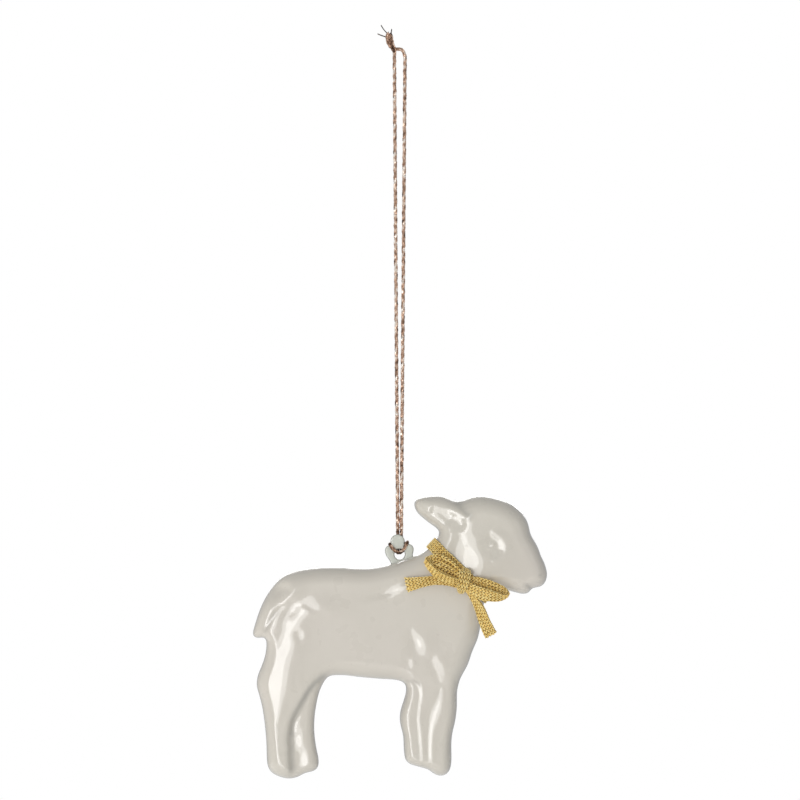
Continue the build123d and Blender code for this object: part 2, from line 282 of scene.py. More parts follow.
def triangulate(points, counts, inside_of):
    edges = []
    base = 0
    for c in counts:
        edges += [(base + i, base + (i + 1) % c) for i in range(c)]
        base += c
    result = geometry.delaunay_2d_cdt([Vector(p) for p in points], edges, [], 0, 1e-7)
    verts = np.array([v[:] for v in result[0]])
    tris = np.array([f for f in result[2]], int)
    centre = verts[tris].mean(1)
    border = (tris < base).all(1)
    ok = np.ones(len(tris), bool)
    ok[border] = inside_of(centre[border])
    tris = tris[ok]
    a, b, c = verts[tris[:, 0]], verts[tris[:, 1]], verts[tris[:, 2]]
    area = (b[:, 0] - a[:, 0]) * (c[:, 1] - a[:, 1]) - (b[:, 1] - a[:, 1]) * (c[:, 0] - a[:, 0])
    tris = tris[np.abs(area) > 1e-9]
    area = area[np.abs(area) > 1e-9]
    tris[area < 0] = tris[area < 0][:, ::-1]
    return verts, tris


class Field:
    """A grid of values with smooth cubic sampling."""

    def __init__(self, x0, z0, step, values):
        self.x0, self.z0, self.step, self.v = x0, z0, step, values

    def at(self, p):
        fx = (p[:, 0] - self.x0) / self.step
        fz = (p[:, 1] - self.z0) / self.step
        nz, nx = self.v.shape
        fx = np.clip(fx, 1.001, nx - 2.001)
        fz = np.clip(fz, 1.001, nz - 2.001)
        ix, iz = np.floor(fx).astype(int), np.floor(fz).astype(int)
        tx, tz = fx - ix, fz - iz

        def w(t):
            return [
                -0.5 * t**3 + t**2 - 0.5 * t,
                1.5 * t**3 - 2.5 * t**2 + 1,
                -1.5 * t**3 + 2 * t**2 + 0.5 * t,
                0.5 * t**3 - 0.5 * t**2,
            ]

        wx, wz = w(tx), w(tz)
        out = np.zeros(len(p))
        for j in range(4):
            for i in range(4):
                out += wz[j] * wx[i] * self.v[iz + j - 1, ix + i - 1]
        return out


def blur(values, sigma, step):
    """Gaussian blur of a grid, edges repeated."""
    k = max(1, int(3.5 * sigma / step))
    w = np.exp(-0.5 * (np.arange(-k, k + 1) * step / sigma) ** 2)
    w /= w.sum()
    v = np.pad(values, ((k, k), (0, 0)), mode="edge")
    out = sum(f * v[i : i + values.shape[0]] for i, f in enumerate(w))
    v = np.pad(out, ((0, 0), (k, k)), mode="edge")
    return sum(f * v[:, i : i + values.shape[1]] for i, f in enumerate(w))


def line_distance(p, line):
    """Distance from points to an open polyline, and how far along it the nearest point is (0 to 1)."""
    a, b = line[:-1], line[1:]
    d = b - a
    dd = (d * d).sum(1)
    run = np.concatenate([[0], np.cumsum(np.sqrt(dd))])
    best = np.full(len(p), 1e9)
    share = np.zeros(len(p))
    side = np.zeros(len(p))
    for i in range(len(a)):
        t = np.clip(((p - a[i]) @ d[i]) / dd[i], 0, 1)
        q = a[i] + t[:, None] * d[i]
        e = np.hypot(*(p - q).T)
        nearer = e < best
        best[nearer] = e[nearer]
        share[nearer] = ((run[i] + t * math.sqrt(dd[i])) / run[-1])[nearer]
        cross = d[i][0] * (p[:, 1] - a[i][1]) - d[i][1] * (p[:, 0] - a[i][0])
        side[nearer] = np.sign(cross)[nearer]
    return best, share, side


# ------------------------------------------------------- the lamb's outline ----
OUTLINE = [
    (437, 537.4), (433, 542.8), (426.5, 549), (420.4, 552.6), (413.5, 555.8), (404, 559.6), (396, 562.2), (388.8, 564),
    (380, 565.9), (371, 567.2), (361.5, 567.5), (352, 567.2), (343, 566.6), (334, 566.4), (324.5, 566.6), (315.5, 567.2),
    (306, 568.3), (297, 570), (288.6, 573), (280.8, 578), (274.5, 584.7), (269, 592), (264.3, 600), (260.6, 608),
    (257.6, 616.2), (255, 624.5), (253.2, 631), (253.2, 634.8), (255.2, 637.2), (258.9, 637.8), (262.8, 637.4), (265.3, 638.6),
    (266.4, 642), (266.4, 646.9), (265.5, 653.7), (263.8, 660), (261.2, 667), (258.6, 673.3), (257, 680), (257, 686.7),
    (258.8, 693.3), (260.6, 699.8), (262.2, 706.6), (264.3, 720), (265.8, 734), (266.6, 747.6), (267.1, 761.3),
    (268.6, 767.6), (271.3, 771.8), (275.3, 774.5), (279.8, 776.5), (284.6, 777.9), (289.4, 778.4), (294.2, 777.8),
    (298.8, 776.3), (303, 774), (307.5, 772.3), (312.3, 771.3), (316.3, 769), (318.4, 765), (318.4, 758), (316.9, 750.7),
    (315.5, 743), (314.7, 736.3), (314.2, 729), (314.3, 721.9), (314.8, 714.5), (315.8, 707.5), (317.1, 700.3),
    (318.8, 693.5), (321.4, 686.6), (325, 680.2), (328, 677), (332, 675.4), (338, 675), (347, 675.3), (355, 676.3), (364, 677.3), (372, 678),
    (381, 678.7), (390, 679.2), (398, 680.2), (402.6, 681.9), (405.2, 684.4), (406.1, 689.6), (405.1, 695.5), (403.3, 701.5), (401.4, 707.3),
    (400.1, 713.1), (399.8, 719), (400.6, 725), (402.1, 730.8), (403.2, 736.4), (403.6, 742.3), (403.8, 748.3), (404.4, 754.4),
    (405.7, 759.8), (409.2, 763.3), (414, 765.2), (419, 766.6), (423.7, 767.9), (428.5, 769.6), (432.6, 772.6), (436.8, 774.9),
    (441.9, 775.5), (446.6, 773.7), (449.7, 769.6), (451.1, 764), (451.5, 757), (451.3, 746), (451.6, 739), (452.5, 732.4), (454, 726), (455.5, 719),
    (456.4, 712), (456.9, 705.4), (456.9, 698.5), (457.1, 691.6), (458.3, 685), (460.4, 678.4), (463.6, 672.3), (466.9, 666.2), (469.4, 660), (471.6, 653.2),
    (474.2, 646.8), (476.9, 640.6), (479.2, 632.5), (481, 622), (482.8, 611), (484.6, 600), (488, 592.8), (494.5, 588.6), (502, 588.6),
    (509, 590.5), (516.4, 592.5), (521, 593.6), (525, 593.7), (528.3, 592.6), (530.4, 590.2), (532.6, 588.2), (536.6, 587.3), (541.2, 586),
    (544.3, 583.2), (546.2, 579.4), (547, 574), (546.2, 569), (544.5, 563.6), (542.8, 559.7), (540.8, 555.7), (539.3, 551.2), (537.4, 546.6), (535.2, 542.3), (532.8, 538.2),
    (530.6, 534.2), (529.4, 529.4), (528, 523.8), (525.6, 518.3), (522.2, 513.2), (517.8, 508.8), (513, 504.9), (507.6, 501.7), (502, 499.4), (496.2, 497.7),
    (490, 496.3), (484, 495.4), (477.8, 495.5), (471.8, 496.5), (465.8, 498.3), (460, 500.1), (454.9, 500.1), (450.1, 498.4), (445.4, 496.5), (440.6, 495.3),
    (435.6, 495.1), (430.5, 495.4), (425.4, 496.1), (420.2, 497.2), (416.4, 499.2), (414.5, 502.6), (414.7, 507), (417.6, 512.6), (423.2, 518), (427.4, 521.4),
    (431.6, 524.5), (436.4, 528), (438.8, 531), (438.9, 534.2),
]
STEP = 0.28
outline = closed_spline(flat(OUTLINE), STEP)
outline = smooth_closed(outline, 0.28, STEP)
outline = resample_closed(outline, STEP)

GRID = 0.25
X0, X1, Z0, Z1 = -39.0, 39.5, -185.0, -108.5
gx = np.arange(X0, X1 + GRID / 2, GRID)
gz = np.arange(Z0, Z1 + GRID / 2, GRID)
GX, GZ = np.meshgrid(gx, gz)
nodes = np.stack([GX.ravel(), GZ.ravel()], 1)
shape = GX.shape
node_in = is_inside(nodes, outline)
node_d, node_near = nearest_on(nodes, outline)
node_sd = np.where(node_in, node_d, -node_d)

# A smooth stand-in for the distance to the edge: exact at the edge, without creases along the middle.
RATE = 1.0


def smooth_distance():
    u = np.where(node_in, 1 - np.exp(-RATE * node_d), 0.0).reshape(shape)
    ghost = (~node_in) & (node_d < 2.5 * GRID)
    mirror = 2 * node_near[ghost] - nodes[ghost]
    fx = (mirror[:, 0] - X0) / GRID
    fz = (mirror[:, 1] - Z0) / GRID
    ix, iz = np.floor(fx).astype(int), np.floor(fz).astype(int)
    tx, tz = fx - ix, fz - iz
    ghost2 = ghost.reshape(shape)
    inside2 = node_in.reshape(shape)
    k = (RATE * GRID) ** 2
    for _ in range(400):
        m = (
            u[iz, ix] * (1 - tx) * (1 - tz)
            + u[iz, ix + 1] * tx * (1 - tz)
            + u[iz + 1, ix] * (1 - tx) * tz
            + u[iz + 1, ix + 1] * tx * tz
        )
        u[ghost2] = -m
        around = np.zeros_like(u)
        around[1:-1, 1:-1] = u[:-2, 1:-1] + u[2:, 1:-1] + u[1:-1, :-2] + u[1:-1, 2:]
        u = np.where(inside2, (around + k) / (4 + k), u)
    sd = node_sd.reshape(shape)
    near_band = np.abs(sd) < 2.4 * GRID
    q = np.where(near_band & (np.abs(sd) > 0.06), u / np.where(np.abs(sd) > 0.06, sd, 1), np.nan)
    q = np.where(inside2 & ~near_band, u / np.maximum(sd, 0.06), q)
    for _ in range(14):
        known = ~np.isnan(q)
        total = np.zeros_like(q)
        count = np.zeros_like(q)
        value = np.where(known, q, 0)
        for dz in (-1, 0, 1):
            for dx in (-1, 0, 1):
                total += np.roll(np.roll(value, dz, 0), dx, 1)
                count += np.roll(np.roll(known, dz, 0), dx, 1)
        q = np.where(known, q, np.where(count > 0, total / np.maximum(count, 1), np.nan))
    q = np.where(np.isnan(q), 0, q)
    return Field(X0, Z0, GRID, u), Field(X0, Z0, GRID, q)


u_field, q_field = smooth_distance()


def soft_distance(p, d):
    near = q_field.at(p) * d
    far = u_field.at(p)
    w = np.clip((d - 0.30) / 0.35, 0, 1)
    w = w * w * (3 - 2 * w)
    return -np.log(1 - np.clip(near * (1 - w) + far * w, 0, 0.9995)) / RATE


# Depth of each area and the radius of its rounded edge, in millimetres; later areas lie over earlier ones.
AREAS = [
    # head
    (5.55, 4.3, [(470, 486), (560, 486), (560, 600), (490, 600), (462, 560), (458, 520)], 2.0),
    (4.7, 3.4, [(522, 545), (565, 545), (565, 600), (512, 600)], 2.6),
    # ear
    (4.75, 3.3, [(405, 490), (450, 488), (453.5, 498), (460.5, 507), (465.0, 518), (461, 530), (449, 536), (436, 540), (405, 520)], 1.6),
    (3.95, 2.1, [(405, 488), (436, 488), (434, 500), (431, 512), (428, 524), (405, 524)], 2.0),
    # tail
    (2.9, 2.9, [(291, 586), (283, 597), (275.5, 609.5), (269.5, 621), (264.5, 634), (262, 645), (245, 645), (245, 600), (268, 580)], 0.8),
    # rump and hind legs
    (5.25, 3.0, [(240, 596), (306, 596), (306, 705), (240, 705)], 1.6),
    (4.8, 2.9, [(250, 696), (335, 696), (335, 790), (250, 790)], 3.2),
    (3.2, 2.0, [(332, 670), (319.5, 678.5), (310.5, 687.5), (304, 698.5), (297, 712), (292.0, 722), (289.4, 735), (289.6, 752), (292.5, 785),
                (330, 785), (335, 700)], 0.50),
    # front legs
    (4.5, 2.3, [(398, 680), (465, 676), (465, 785), (398, 785)], 2.0),
    (4.42, 1.7, [(398, 684), (408, 680.5), (415.0, 679.6), (418.6, 682.6), (420.2, 688), (421.0, 696), (420.0, 707), (418.2, 718), (419.8, 731),
                 (421.0, 752), (422.6, 770), (423, 785), (395, 785), (392, 700)], 0.23),
]
depth = np.full(shape, 5.25)
round_r = np.full(shape, 4.2)
for value, radius, polygon, soft in AREAS:
    mask = is_inside(nodes, flat(polygon)).reshape(shape).astype(float)
    mask = blur(mask, soft, GRID)
    depth = depth * (1 - mask) + value * mask
    round_r = round_r * (1 - mask) + radius * mask

relief = np.zeros(shape)


def bump(px, py, sx, sy, height, turn=0.0):
    """A smooth rise; sx and sy in outline units, turn in degrees clockwise as seen."""
    c = flat([(px, py)])[0]
    a = math.radians(turn)
    dx, dz = (GX - c[0]) / PX, -(GZ - c[1]) / PX
    along = dx * math.cos(a) + dz * math.sin(a)
    across = -dx * math.sin(a) + dz * math.cos(a)
    relief[:] += height * np.exp(-0.5 * ((along / sx) ** 2 + (across / sy) ** 2))


def tilt(px, py, sx, sy, slope, turn=0.0):
    """A patch that leans, rising to the right by slope; sizes in outline units."""
    c = flat([(px, py)])[0]
    a = math.radians(turn)
    dx, dz = (GX - c[0]) / PX, -(GZ - c[1]) / PX
    along = dx * math.cos(a) + dz * math.sin(a)
    across = -dx * math.sin(a) + dz * math.cos(a)
    relief[:] += slope * along * PX * np.exp(-0.5 * ((along / sx) ** 2 + (across / sy) ** 2))


# painted shade: darkening of the enamel colour in recesses, gathered on the grid
crease_shade = np.zeros(shape)


def near_line(line, widths):
    path = open_spline(np.concatenate([flat(line), np.zeros((len(line), 1)), np.asarray(widths, float)[:, None] * PX], 1)[:, [0, 1, 3]], 0.5)
    w, path = path[:, 2], path[:, :2]
    reach = 5 * w.max() + 1
    keep = ((nodes > path.min(0) - reach) & (nodes < path.max(0) + reach)).all(1)
    d, share, side = line_distance(nodes[keep], path)
    return keep, d, share, side, np.interp(share, np.linspace(0, 1, len(w)), w)


def fades(share, fade):
    ends = np.clip(share / fade, 0, 1) * np.clip((1 - share) / fade, 0, 1)
    return ends * ends * (3 - 2 * ends)


def ridge(line, width, height, fade=0.12):
    """A smooth ridge, or a groove with a negative height, along a line; width in outline units, one or one each."""
    widths = width if hasattr(width, "__len__") else [width] * len(line)
    keep, d, share, side, w = near_line(line, widths)
    out = np.zeros(len(nodes))
    out[keep] = height * np.exp(-0.5 * (d / w) ** 2) * fades(share, fade)
    relief[:] += out.reshape(shape)


def paint_crease_shade(line, width, amount, fade=0.12):
    """Painted shade: the enamel colour darker along the bottom of a recess; width in outline units."""
    widths = width if hasattr(width, "__len__") else [width] * len(line)
    keep, d, share, side, w = near_line(line, widths)
    out = np.zeros(len(nodes))
    out[keep] = amount * np.exp(-0.5 * (d / w) ** 2) * fades(share, fade)
    crease_shade[:] += out.reshape(shape)


def lean(line, width, slope, fade=0.12, plateau=0.0):
    """A band that rises to the right of the line's upper end by slope; width in outline units."""
    widths = width if hasattr(width, "__len__") else [width] * len(line)
    keep, d, share, side, w = near_line(line, widths)
    out = np.zeros(len(nodes))
    signed = side * d
    out[keep] = slope * signed * np.exp(-0.5 * (d / w) ** 2) * fades(share, fade)
    relief[:] += out.reshape(shape)


# tail: its own crest and the groove that parts it from the haunch
lean([(283.0, 595.5), (274.5, 602), (267.0, 610.5), (261.4, 619.5), (257.6, 629), (255.5, 635)], [3.2, 3.4, 3.4, 3.2, 3.0, 2.6], -0.14, 0.10)
tilt(274.0, 613.0, 20, 6, 0.20, -51)
ridge([(287, 602), (280.5, 607.5), (273.5, 616), (267.8, 625.5), (264.0, 636)], 1.8, -0.22, 0.2)
# haunch: the long band that leans back from the thigh's crest
lean([(301, 599), (295.5, 610), (290.5, 628), (286, 646), (279.5, 662), (275.5, 678), (275.2, 694), (276.2, 709), (275.0, 724)],
     [9, 10, 8, 9.5, 12, 13.5, 11, 5.5, 3.2], 0.185, 0.06)
tilt(304, 606.5, 19, 7.0, 0.14)
bump(297.6, 633.0, 3.8, 3.8, -0.15)
tilt(302.4, 635.0, 3.4, 3.8, 0.15)
tilt(298, 679, 2.6, 5.5, 0.10)
# hind legs: fold against the belly, valley between the legs, feet
ridge([(333, 670), (322, 677), (312.5, 685.5), (303.5, 700), (294.5, 718), (291.5, 737)], 1.9, -0.42, 0.12)
ridge([(291.6, 733), (291.4, 752), (292.5, 776)], 2.6, -0.13, 0.08)
lean([(272.5, 733), (274.5, 745), (277, 757), (279, 768)], 2.6, 0.10, 0.2)
tilt(299.6, 740, 4.0, 6.0, 0.21)
tilt(305.0, 761, 5.4, 6.0, 0.23)
tilt(304.0, 751, 3.4, 4.6, 0.08)
# shoulder and elbow
tilt(420.2, 643.4, 6.8, 7.6, 0.18, -14)
tilt(414.6, 634.5, 3.2, 6.0, 0.10, -24)
tilt(410.6, 662.0, 3.0, 3.6, 0.16)
lean([(432, 654), (437.0, 663), (441, 673), (441.5, 684)], [4.2, 5.2, 4.6, 2.6], 0.14, 0.15)
lean([(441.5, 684), (440.4, 695), (437.4, 706), (434.0, 716), (431.4, 727), (430.2, 738), (430, 748), (430.2, 762)],
     [1.6, 2.6, 4.8, 5.2, 3.6, 2.8, 2.6, 2.4], 0.19, 0.07)
# front legs
lean([(411.2, 682), (411.0, 694), (408.4, 709), (407.2, 721), (408.8, 738), (411.4, 757)], 2.3, 0.13, 0.1)
lean([(421.0, 684), (420.6, 694), (418.8, 708), (418.2, 720), (419.6, 735), (420.8, 748), (421.8, 760)], 1.6, 0.13, 0.1)
lean([(432.5, 720), (430.6, 730), (430.0, 742), (430.0, 752), (430.2, 763)], 2.0, 0.08, 0.1)
bump(491.2, 544.4, 1.8, 1.8, 0.10)
# withers
tilt(396, 589.0, 15, 3.0, 0.16, -14)
# cheek
tilt(472.0, 561.0, 15, 8.0, 0.18, -6)
tilt(470.5, 546.0, 10.5, 9.5, 0.10, -10)
lean([(461, 530), (453, 540), (447, 551), (441, 560)], 5.0, -0.17, 0.2)
# eye: socket, lid and ball
bump(488.0, 546.0, 6.0, 6.5, -0.20)
lean([(488.0, 530.5), (493.2, 535.5), (498.8, 541.0), (501.6, 547.5), (500.0, 552.8), (495.0, 556.8), (489.0, 558.4)], [2.6, 4.0, 5.2, 5.6, 4.6, 3.6, 2.6], 0.29, 0.10)
bump(490.4, 543.9, 3.0, 3.0, 0.18)
tilt(491.2, 543.8, 2.0, 2.0, 0.46)
# brow, muzzle, nostril and mouth
bump(505, 515, 13, 8, 0.10, 25)
bump(538.0, 576, 5.5, 5.5, 0.25)
ridge([(534.0, 592.0), (531.5, 589.0), (528.4, 586.0), (524.5, 583.2)], [2.6, 2.2, 1.9, 1.6], -0.50, 0.10)
bump(541.0, 575.0, 2.0, 2.2, -0.18)
# ear: a dished leaf that runs into the head
ridge([(427, 510.0), (434, 512.0), (443, 516.5), (452, 524)], [3.0, 4.6, 5.4, 4.4], -0.46, 0.22)
tilt(428.6, 509.6, 3.2, 4.2, 0.12)
tilt(438.5, 514.0, 5.0, 8.0, -0.10)
tilt(466.0, 524.0, 5.0, 5.0, 0.12, 20)
lean([(446, 506), (453, 512.5), (460, 518.5), (468, 525.0)], [3.0, 3.4, 4.2, 5.0], 0.20, 0.2)
ridge([(452.5, 497.0), (458, 503.0), (463.5, 509.5), (468.5, 516.5)], [2.0, 2.2, 2.2, 2.0], -0.40, 0.2)
tilt(474.0, 513.5, 3.6, 8.0, -0.08, 25)
# painted shade along the hind-leg fold and valley, the ear crease, the mouth, the nostril, the tail groove and the
# foreleg top
paint_crease_shade([(330, 672), (321, 678), (311.5, 687), (302.5, 701), (293.5, 719), (291.0, 738)], [1.6, 1.8, 2.0, 2.2, 2.4, 2.4], 0.50, 0.12)
paint_crease_shade([(291.4, 728), (291.4, 750), (292.0, 774)], 2.8, 0.42, 0.15)
paint_crease_shade([(453, 498.5), (460, 505.5), (467, 513), (473, 520)], [2.2, 2.4, 2.6, 2.6], 0.40, 0.25)
paint_crease_shade([(533.0, 590.5), (531.0, 588.6), (528.2, 586.0), (525.0, 583.6)], [1.3, 1.2, 1.1, 1.0], 0.60, 0.15)
paint_crease_shade([(539.4, 573.0), (540.4, 575.4)], 1.1, 0.40, 0.3)
paint_crease_shade([(278.8, 608.5), (273.0, 616.5), (267.3, 626.5), (264.2, 635)], 1.5, 0.26, 0.25)
paint_crease_shade([(402, 684.0), (407, 680.8), (413, 680.2), (418.5, 682.5), (421, 688)], 1.3, 0.22, 0.25)

# gentle unevenness of a hand-dipped coat
seed = np.random.RandomState(7)
wave = np.zeros(shape)
for _ in range(46):
    length = seed.uniform(5.0, 15.0)
    a = seed.uniform(0, 2 * math.pi)
    wave += length / 11.0 * np.sin(
        2 * math.pi * (GX * math.cos(a) + GZ * math.sin(a)) / length + seed.uniform(0, 2 * math.pi)
    )
wave *= 0.014 / wave.std()
relief += wave

depth_field = Field(X0, Z0, GRID, depth)
round_field = Field(X0, Z0, GRID, round_r)
relief_field = Field(X0, Z0, GRID, relief)
crease_shade_field = Field(X0, Z0, GRID, crease_shade)


def height(p, d=None):
    """How far the enamelled surface stands from the seam plane, in millimetres."""
    if d is None:
        d, _ = nearest_on(p, outline)
        d = np.where(is_inside(p, outline), d, 0.0)
    t = np.clip(soft_distance(p, d) / round_field.at(p), 0, 1)
    return np.maximum(
        depth_field.at(p) * np.sqrt(np.clip(1 - (1 - t) ** 2, 0, 1)) + relief_field.at(p) * (1 - np.exp(-((d / 1.3) ** 2))), 0.0
    )


# ------------------------------------------------------------- the shells ----
RINGS = [0.02, 0.08, 0.18, 0.33, 0.54, 0.82, 1.16]
LATTICE = 0.42


def in_outline(p):
    return is_inside(p, outline)


# the eye and the ear's tip are small, so their part of the sheet is finer
DENSE = [(*flat([(495, 544)])[0], 3.4), (*flat([(430, 509)])[0], 2.2)]
points, counts = plate_points([outline], RINGS, LATTICE, in_outline, DENSE)
verts2, tris = triangulate(points, counts, in_outline)
d2, _ = nearest_on(verts2, outline)
rim = np.arange(counts[0])
d2[rim] = 0
h2 = height(verts2, d2)
LIP = 0.10
h2 = np.maximum(h2, LIP)
h2[rim] = LIP


def vertex_normals(v, t):
    n = np.cross(v[t[:, 1]] - v[t[:, 0]], v[t[:, 2]] - v[t[:, 0]])
    out = np.zeros_like(v)
    for c in range(3):
        np.add.at(out, t[:, c], n)
    return out / np.maximum(np.linalg.norm(out, axis=1), 1e-12)[:, None]


def shell(name, sign):
    """One stamped half: enamelled outside, turned lip at the seam, plain inside."""
    out = np.stack([verts2[:, 0], -sign * h2, verts2[:, 1]], 1)
    t = tris if sign > 0 else tris[:, ::-1]
    n = vertex_normals(out, t)
    flip = (n[:, 1] * -sign).sum() < 0
    if flip:
        t = t[:, ::-1]
        n = -n
    inner = out - n * 0.42
    inner[:, 1] = -sign * np.maximum(-sign * inner[:, 1], 0.06)
    lip2 = verts2[rim] + inward_normals(verts2[rim]) * 0.09
    lip = np.stack([lip2[:, 0], np.full(len(rim), -sign * 0.015), lip2[:, 1]], 1)
    inner2 = verts2[rim] + inward_normals(verts2[rim]) * 0.40
    inner[rim] = np.stack([inner2[:, 0], np.full(len(rim), -sign * 0.015), inner2[:, 1]], 1)
    count = len(out)
    all_verts = np.concatenate([out, inner, lip])
    faces = [tuple(f) for f in t] + [tuple(f[::-1] + count) for f in t]
    r = len(rim)
    edge_forward = any((t[:, i] == 0).any() and ((t[:, (i + 1) % 3] == 1) & (t[:, i] == 0)).any() for i in range(3))
    for i in range(r):
        j = (i + 1) % r
        a, b = (i, j) if edge_forward else (j, i)
        faces.append((b, a, 2 * count + a, 2 * count + b))
        faces.append((2 * count + b, 2 * count + a, count + a, count + b))
    # painted shade in the enamel colour: darker towards the silhouette, fully dark on the lip at the seam, plus the
    # painted crease shade
    edge = np.concatenate([0.10 * np.exp(-d2 / 1.0) + 0.40 * np.exp(-d2 / 0.15) + crease_shade_field.at(verts2), np.zeros(count), np.ones(r)])
    obj = make_object(name, all_verts, faces, True, {"edge": edge})
    return obj


front = shell("shell_front_enamel", 1)
back = shell("shell_back_enamel", -1)

# ---------------------------------------------------------------- eyelet ----
HOLE = (0.03, -125.80)
EYELET = [
    (391.6, 571), (391.4, 566), (390.6, 562.4), (388.6, 558.9), (386.2, 555.8), (384.9, 552.0), (385.1, 548.6), (387.0, 545.9), (389.6, 545.0), (391.3, 545.6),
    (390.6, 543.2), (390.4, 540.4), (391.4, 537.6), (393.6, 535.3), (396.3, 534.2), (399.2, 534.3), (401.9, 535.6), (404.0, 538.0), (404.8, 541.0), (404.3, 544.0),
    (405.4, 545.0), (407.6, 543.9), (410.2, 543.9), (412.4, 545.5), (413.7, 548.4), (413.5, 551.6), (412.6, 554.2), (413.2, 556.6), (415.6, 560), (415, 571),
]
eye_loop = resample_closed(flat(EYELET), 0.11)
eye_loop = smooth_closed(eye_loop, 0.17, 0.11)
eye_loop = resample_closed(eye_loop, 0.11)
turn = np.linspace(0, 2 * math.pi, 76, endpoint=False)
hole_loop = np.stack([HOLE[0] + 1.30 * np.cos(turn), HOLE[1] + 1.30 * np.sin(turn)], 1)


def in_eyelet(p):
    return is_inside(p, eye_loop) & ~is_inside(p, hole_loop)


ep, ec = plate_points([eye_loop, hole_loop], [0.02, 0.07, 0.15, 0.26], 0.16, in_eyelet)
ev, et = triangulate(ep, ec, in_eyelet)
ed = np.minimum(nearest_on(ev, eye_loop)[0], nearest_on(ev, hole_loop)[0])
ed[: sum(ec)] = 0
t01 = np.clip(ed / 0.34, 0, 1)
eh = 0.46 * np.sqrt(np.clip(1 - (1 - t01) ** 2, 0, 1))
eh[ed > 0.3] += 0.012 * np.sin(ev[ed > 0.3, 0] * 2.1 + 0.5) * np.cos(ev[ed > 0.3, 1] * 1.7)
ec_total = sum(ec)
count = len(ev)
remap = np.arange(count) + count - ec_total
remap[:ec_total] = np.arange(ec_total)
eyelet_verts = np.concatenate(
    [
        np.stack([ev[:, 0], -eh, ev[:, 1]], 1),
        np.stack([ev[ec_total:, 0], eh[ec_total:], ev[ec_total:, 1]], 1),
    ]
)
n = vertex_normals(eyelet_verts[:count], et)
ef = et if n[:, 1].sum() < 0 else et[:, ::-1]
eyelet_faces = np.concatenate([ef, remap[ef][:, ::-1]])
# painted shade: the eyelet's colour darkens towards its outline and the hole's edge
eyelet = make_object("eyelet_enamel", eyelet_verts, eyelet_faces, True, {
    "edge": np.concatenate([np.exp(-ed / 0.11), np.exp(-ed[ec_total:] / 0.11)])})

# --------------------------------------------------------------- ribbon ----


class Parts:
    """Vertices, faces and a colour value gathered into one mesh."""

    def __init__(self):
        self.v, self.f, self.c, self.n = [], [], [], 0

    def add(self, verts, faces, tone):
        self.v.append(verts)
        self.f.append(faces + self.n)
        self.c.append(np.broadcast_to(tone, (len(verts),)))
        self.n += len(verts)

    def build(self, name, smooth=True):
        return make_object(name, np.concatenate(self.v), np.concatenate(self.f), smooth, {"tone": np.concatenate(self.c)})


def grid_faces(rows, cols, closed_cols=False, closed_rows=False):
    r = np.arange(rows if closed_rows else rows - 1)
    c = np.arange(cols if closed_cols else cols - 1)
    R, C = np.meshgrid(r, c, indexing="ij")
    R2, C2 = (R + 1) % rows, (C + 1) % cols
    return np.stack([R * cols + C, R * cols + C2, R2 * cols + C2, R2 * cols + C], 2).reshape(-1, 4)


class Strip:
    """A ribbon surface between two edge curves."""

    def __init__(self, edge_a, edge_b, cup=0.0, closed=False, fold=None):
        self.closed = closed
        if closed:
            self.a, self.b = np.asarray(edge_a, float), np.asarray(edge_b, float)
        else:
            pa, pb = np.asarray(edge_a, float), np.asarray(edge_b, float)
            both = open_spline(np.concatenate([(pa + pb) / 2, pa, pb], 1), 0.16)
            self.a, self.b = both[:, 3:6], both[:, 6:9]
        self.cup, self.fold = cup, fold
        mid = (self.a + self.b) / 2
        if closed:
            step = np.linalg.norm(np.roll(mid, -1, 0) - mid, axis=1)
            self.length = step.sum()
            self.run = np.concatenate([[0], np.cumsum(step)])
            self.a, self.b = np.concatenate([self.a, self.a[:1]]), np.concatenate([self.b, self.b[:1]])
            mid = np.concatenate([mid, mid[:1]])
        else:
            self.run = np.concatenate([[0], np.cumsum(np.linalg.norm(np.diff(mid, axis=0), axis=1))])
            self.length = self.run[-1]
        self.tangent = np.gradient(mid, axis=0)
        if closed:
            self.tangent[0] = self.tangent[-1] = (mid[1] - mid[-2])
        self.tangent /= np.linalg.norm(self.tangent, axis=1)[:, None]

    def sample(self, array, s):
        if self.closed:
            s = s % self.length
        return np.stack([np.interp(s, self.run, array[:, c]) for c in range(3)], 1)

    def at(self, s, v):
        """Point and normal at run s and share v from -1 (edge a) to 1 (edge b)."""
        a, b, t = self.sample(self.a, s), self.sample(self.b, s), self.sample(self.tangent, s)
        w = (b - a) / 2
        n = np.cross(t, w)
        n /= np.maximum(np.linalg.norm(n, axis=1), 1e-9)[:, None]
        p = (a + b) / 2 + w * v[:, None]
        lift = self.cup * (1 - v * v)
        if self.fold:
            back_way = np.clip((s / self.length - 0.52) / 0.12, 0, 1)
            lift = lift + self.fold[2] * back_way * np.exp(-0.5 * ((v - self.fold[0]) / self.fold[1]) ** 2)
        p = p + n * (lift if np.ndim(lift) else np.full(len(s), lift))[:, None]
        # tilt of the normal that goes with the cup
        width = np.linalg.norm(w, axis=1)
        n2 = n + (w / np.maximum(width, 1e-9)[:, None]) * (2 * self.cup * v / np.maximum(width, 1e-9))[:, None]
        n2 /= np.linalg.norm(n2, axis=1)[:, None]
        return p, n2, t, width


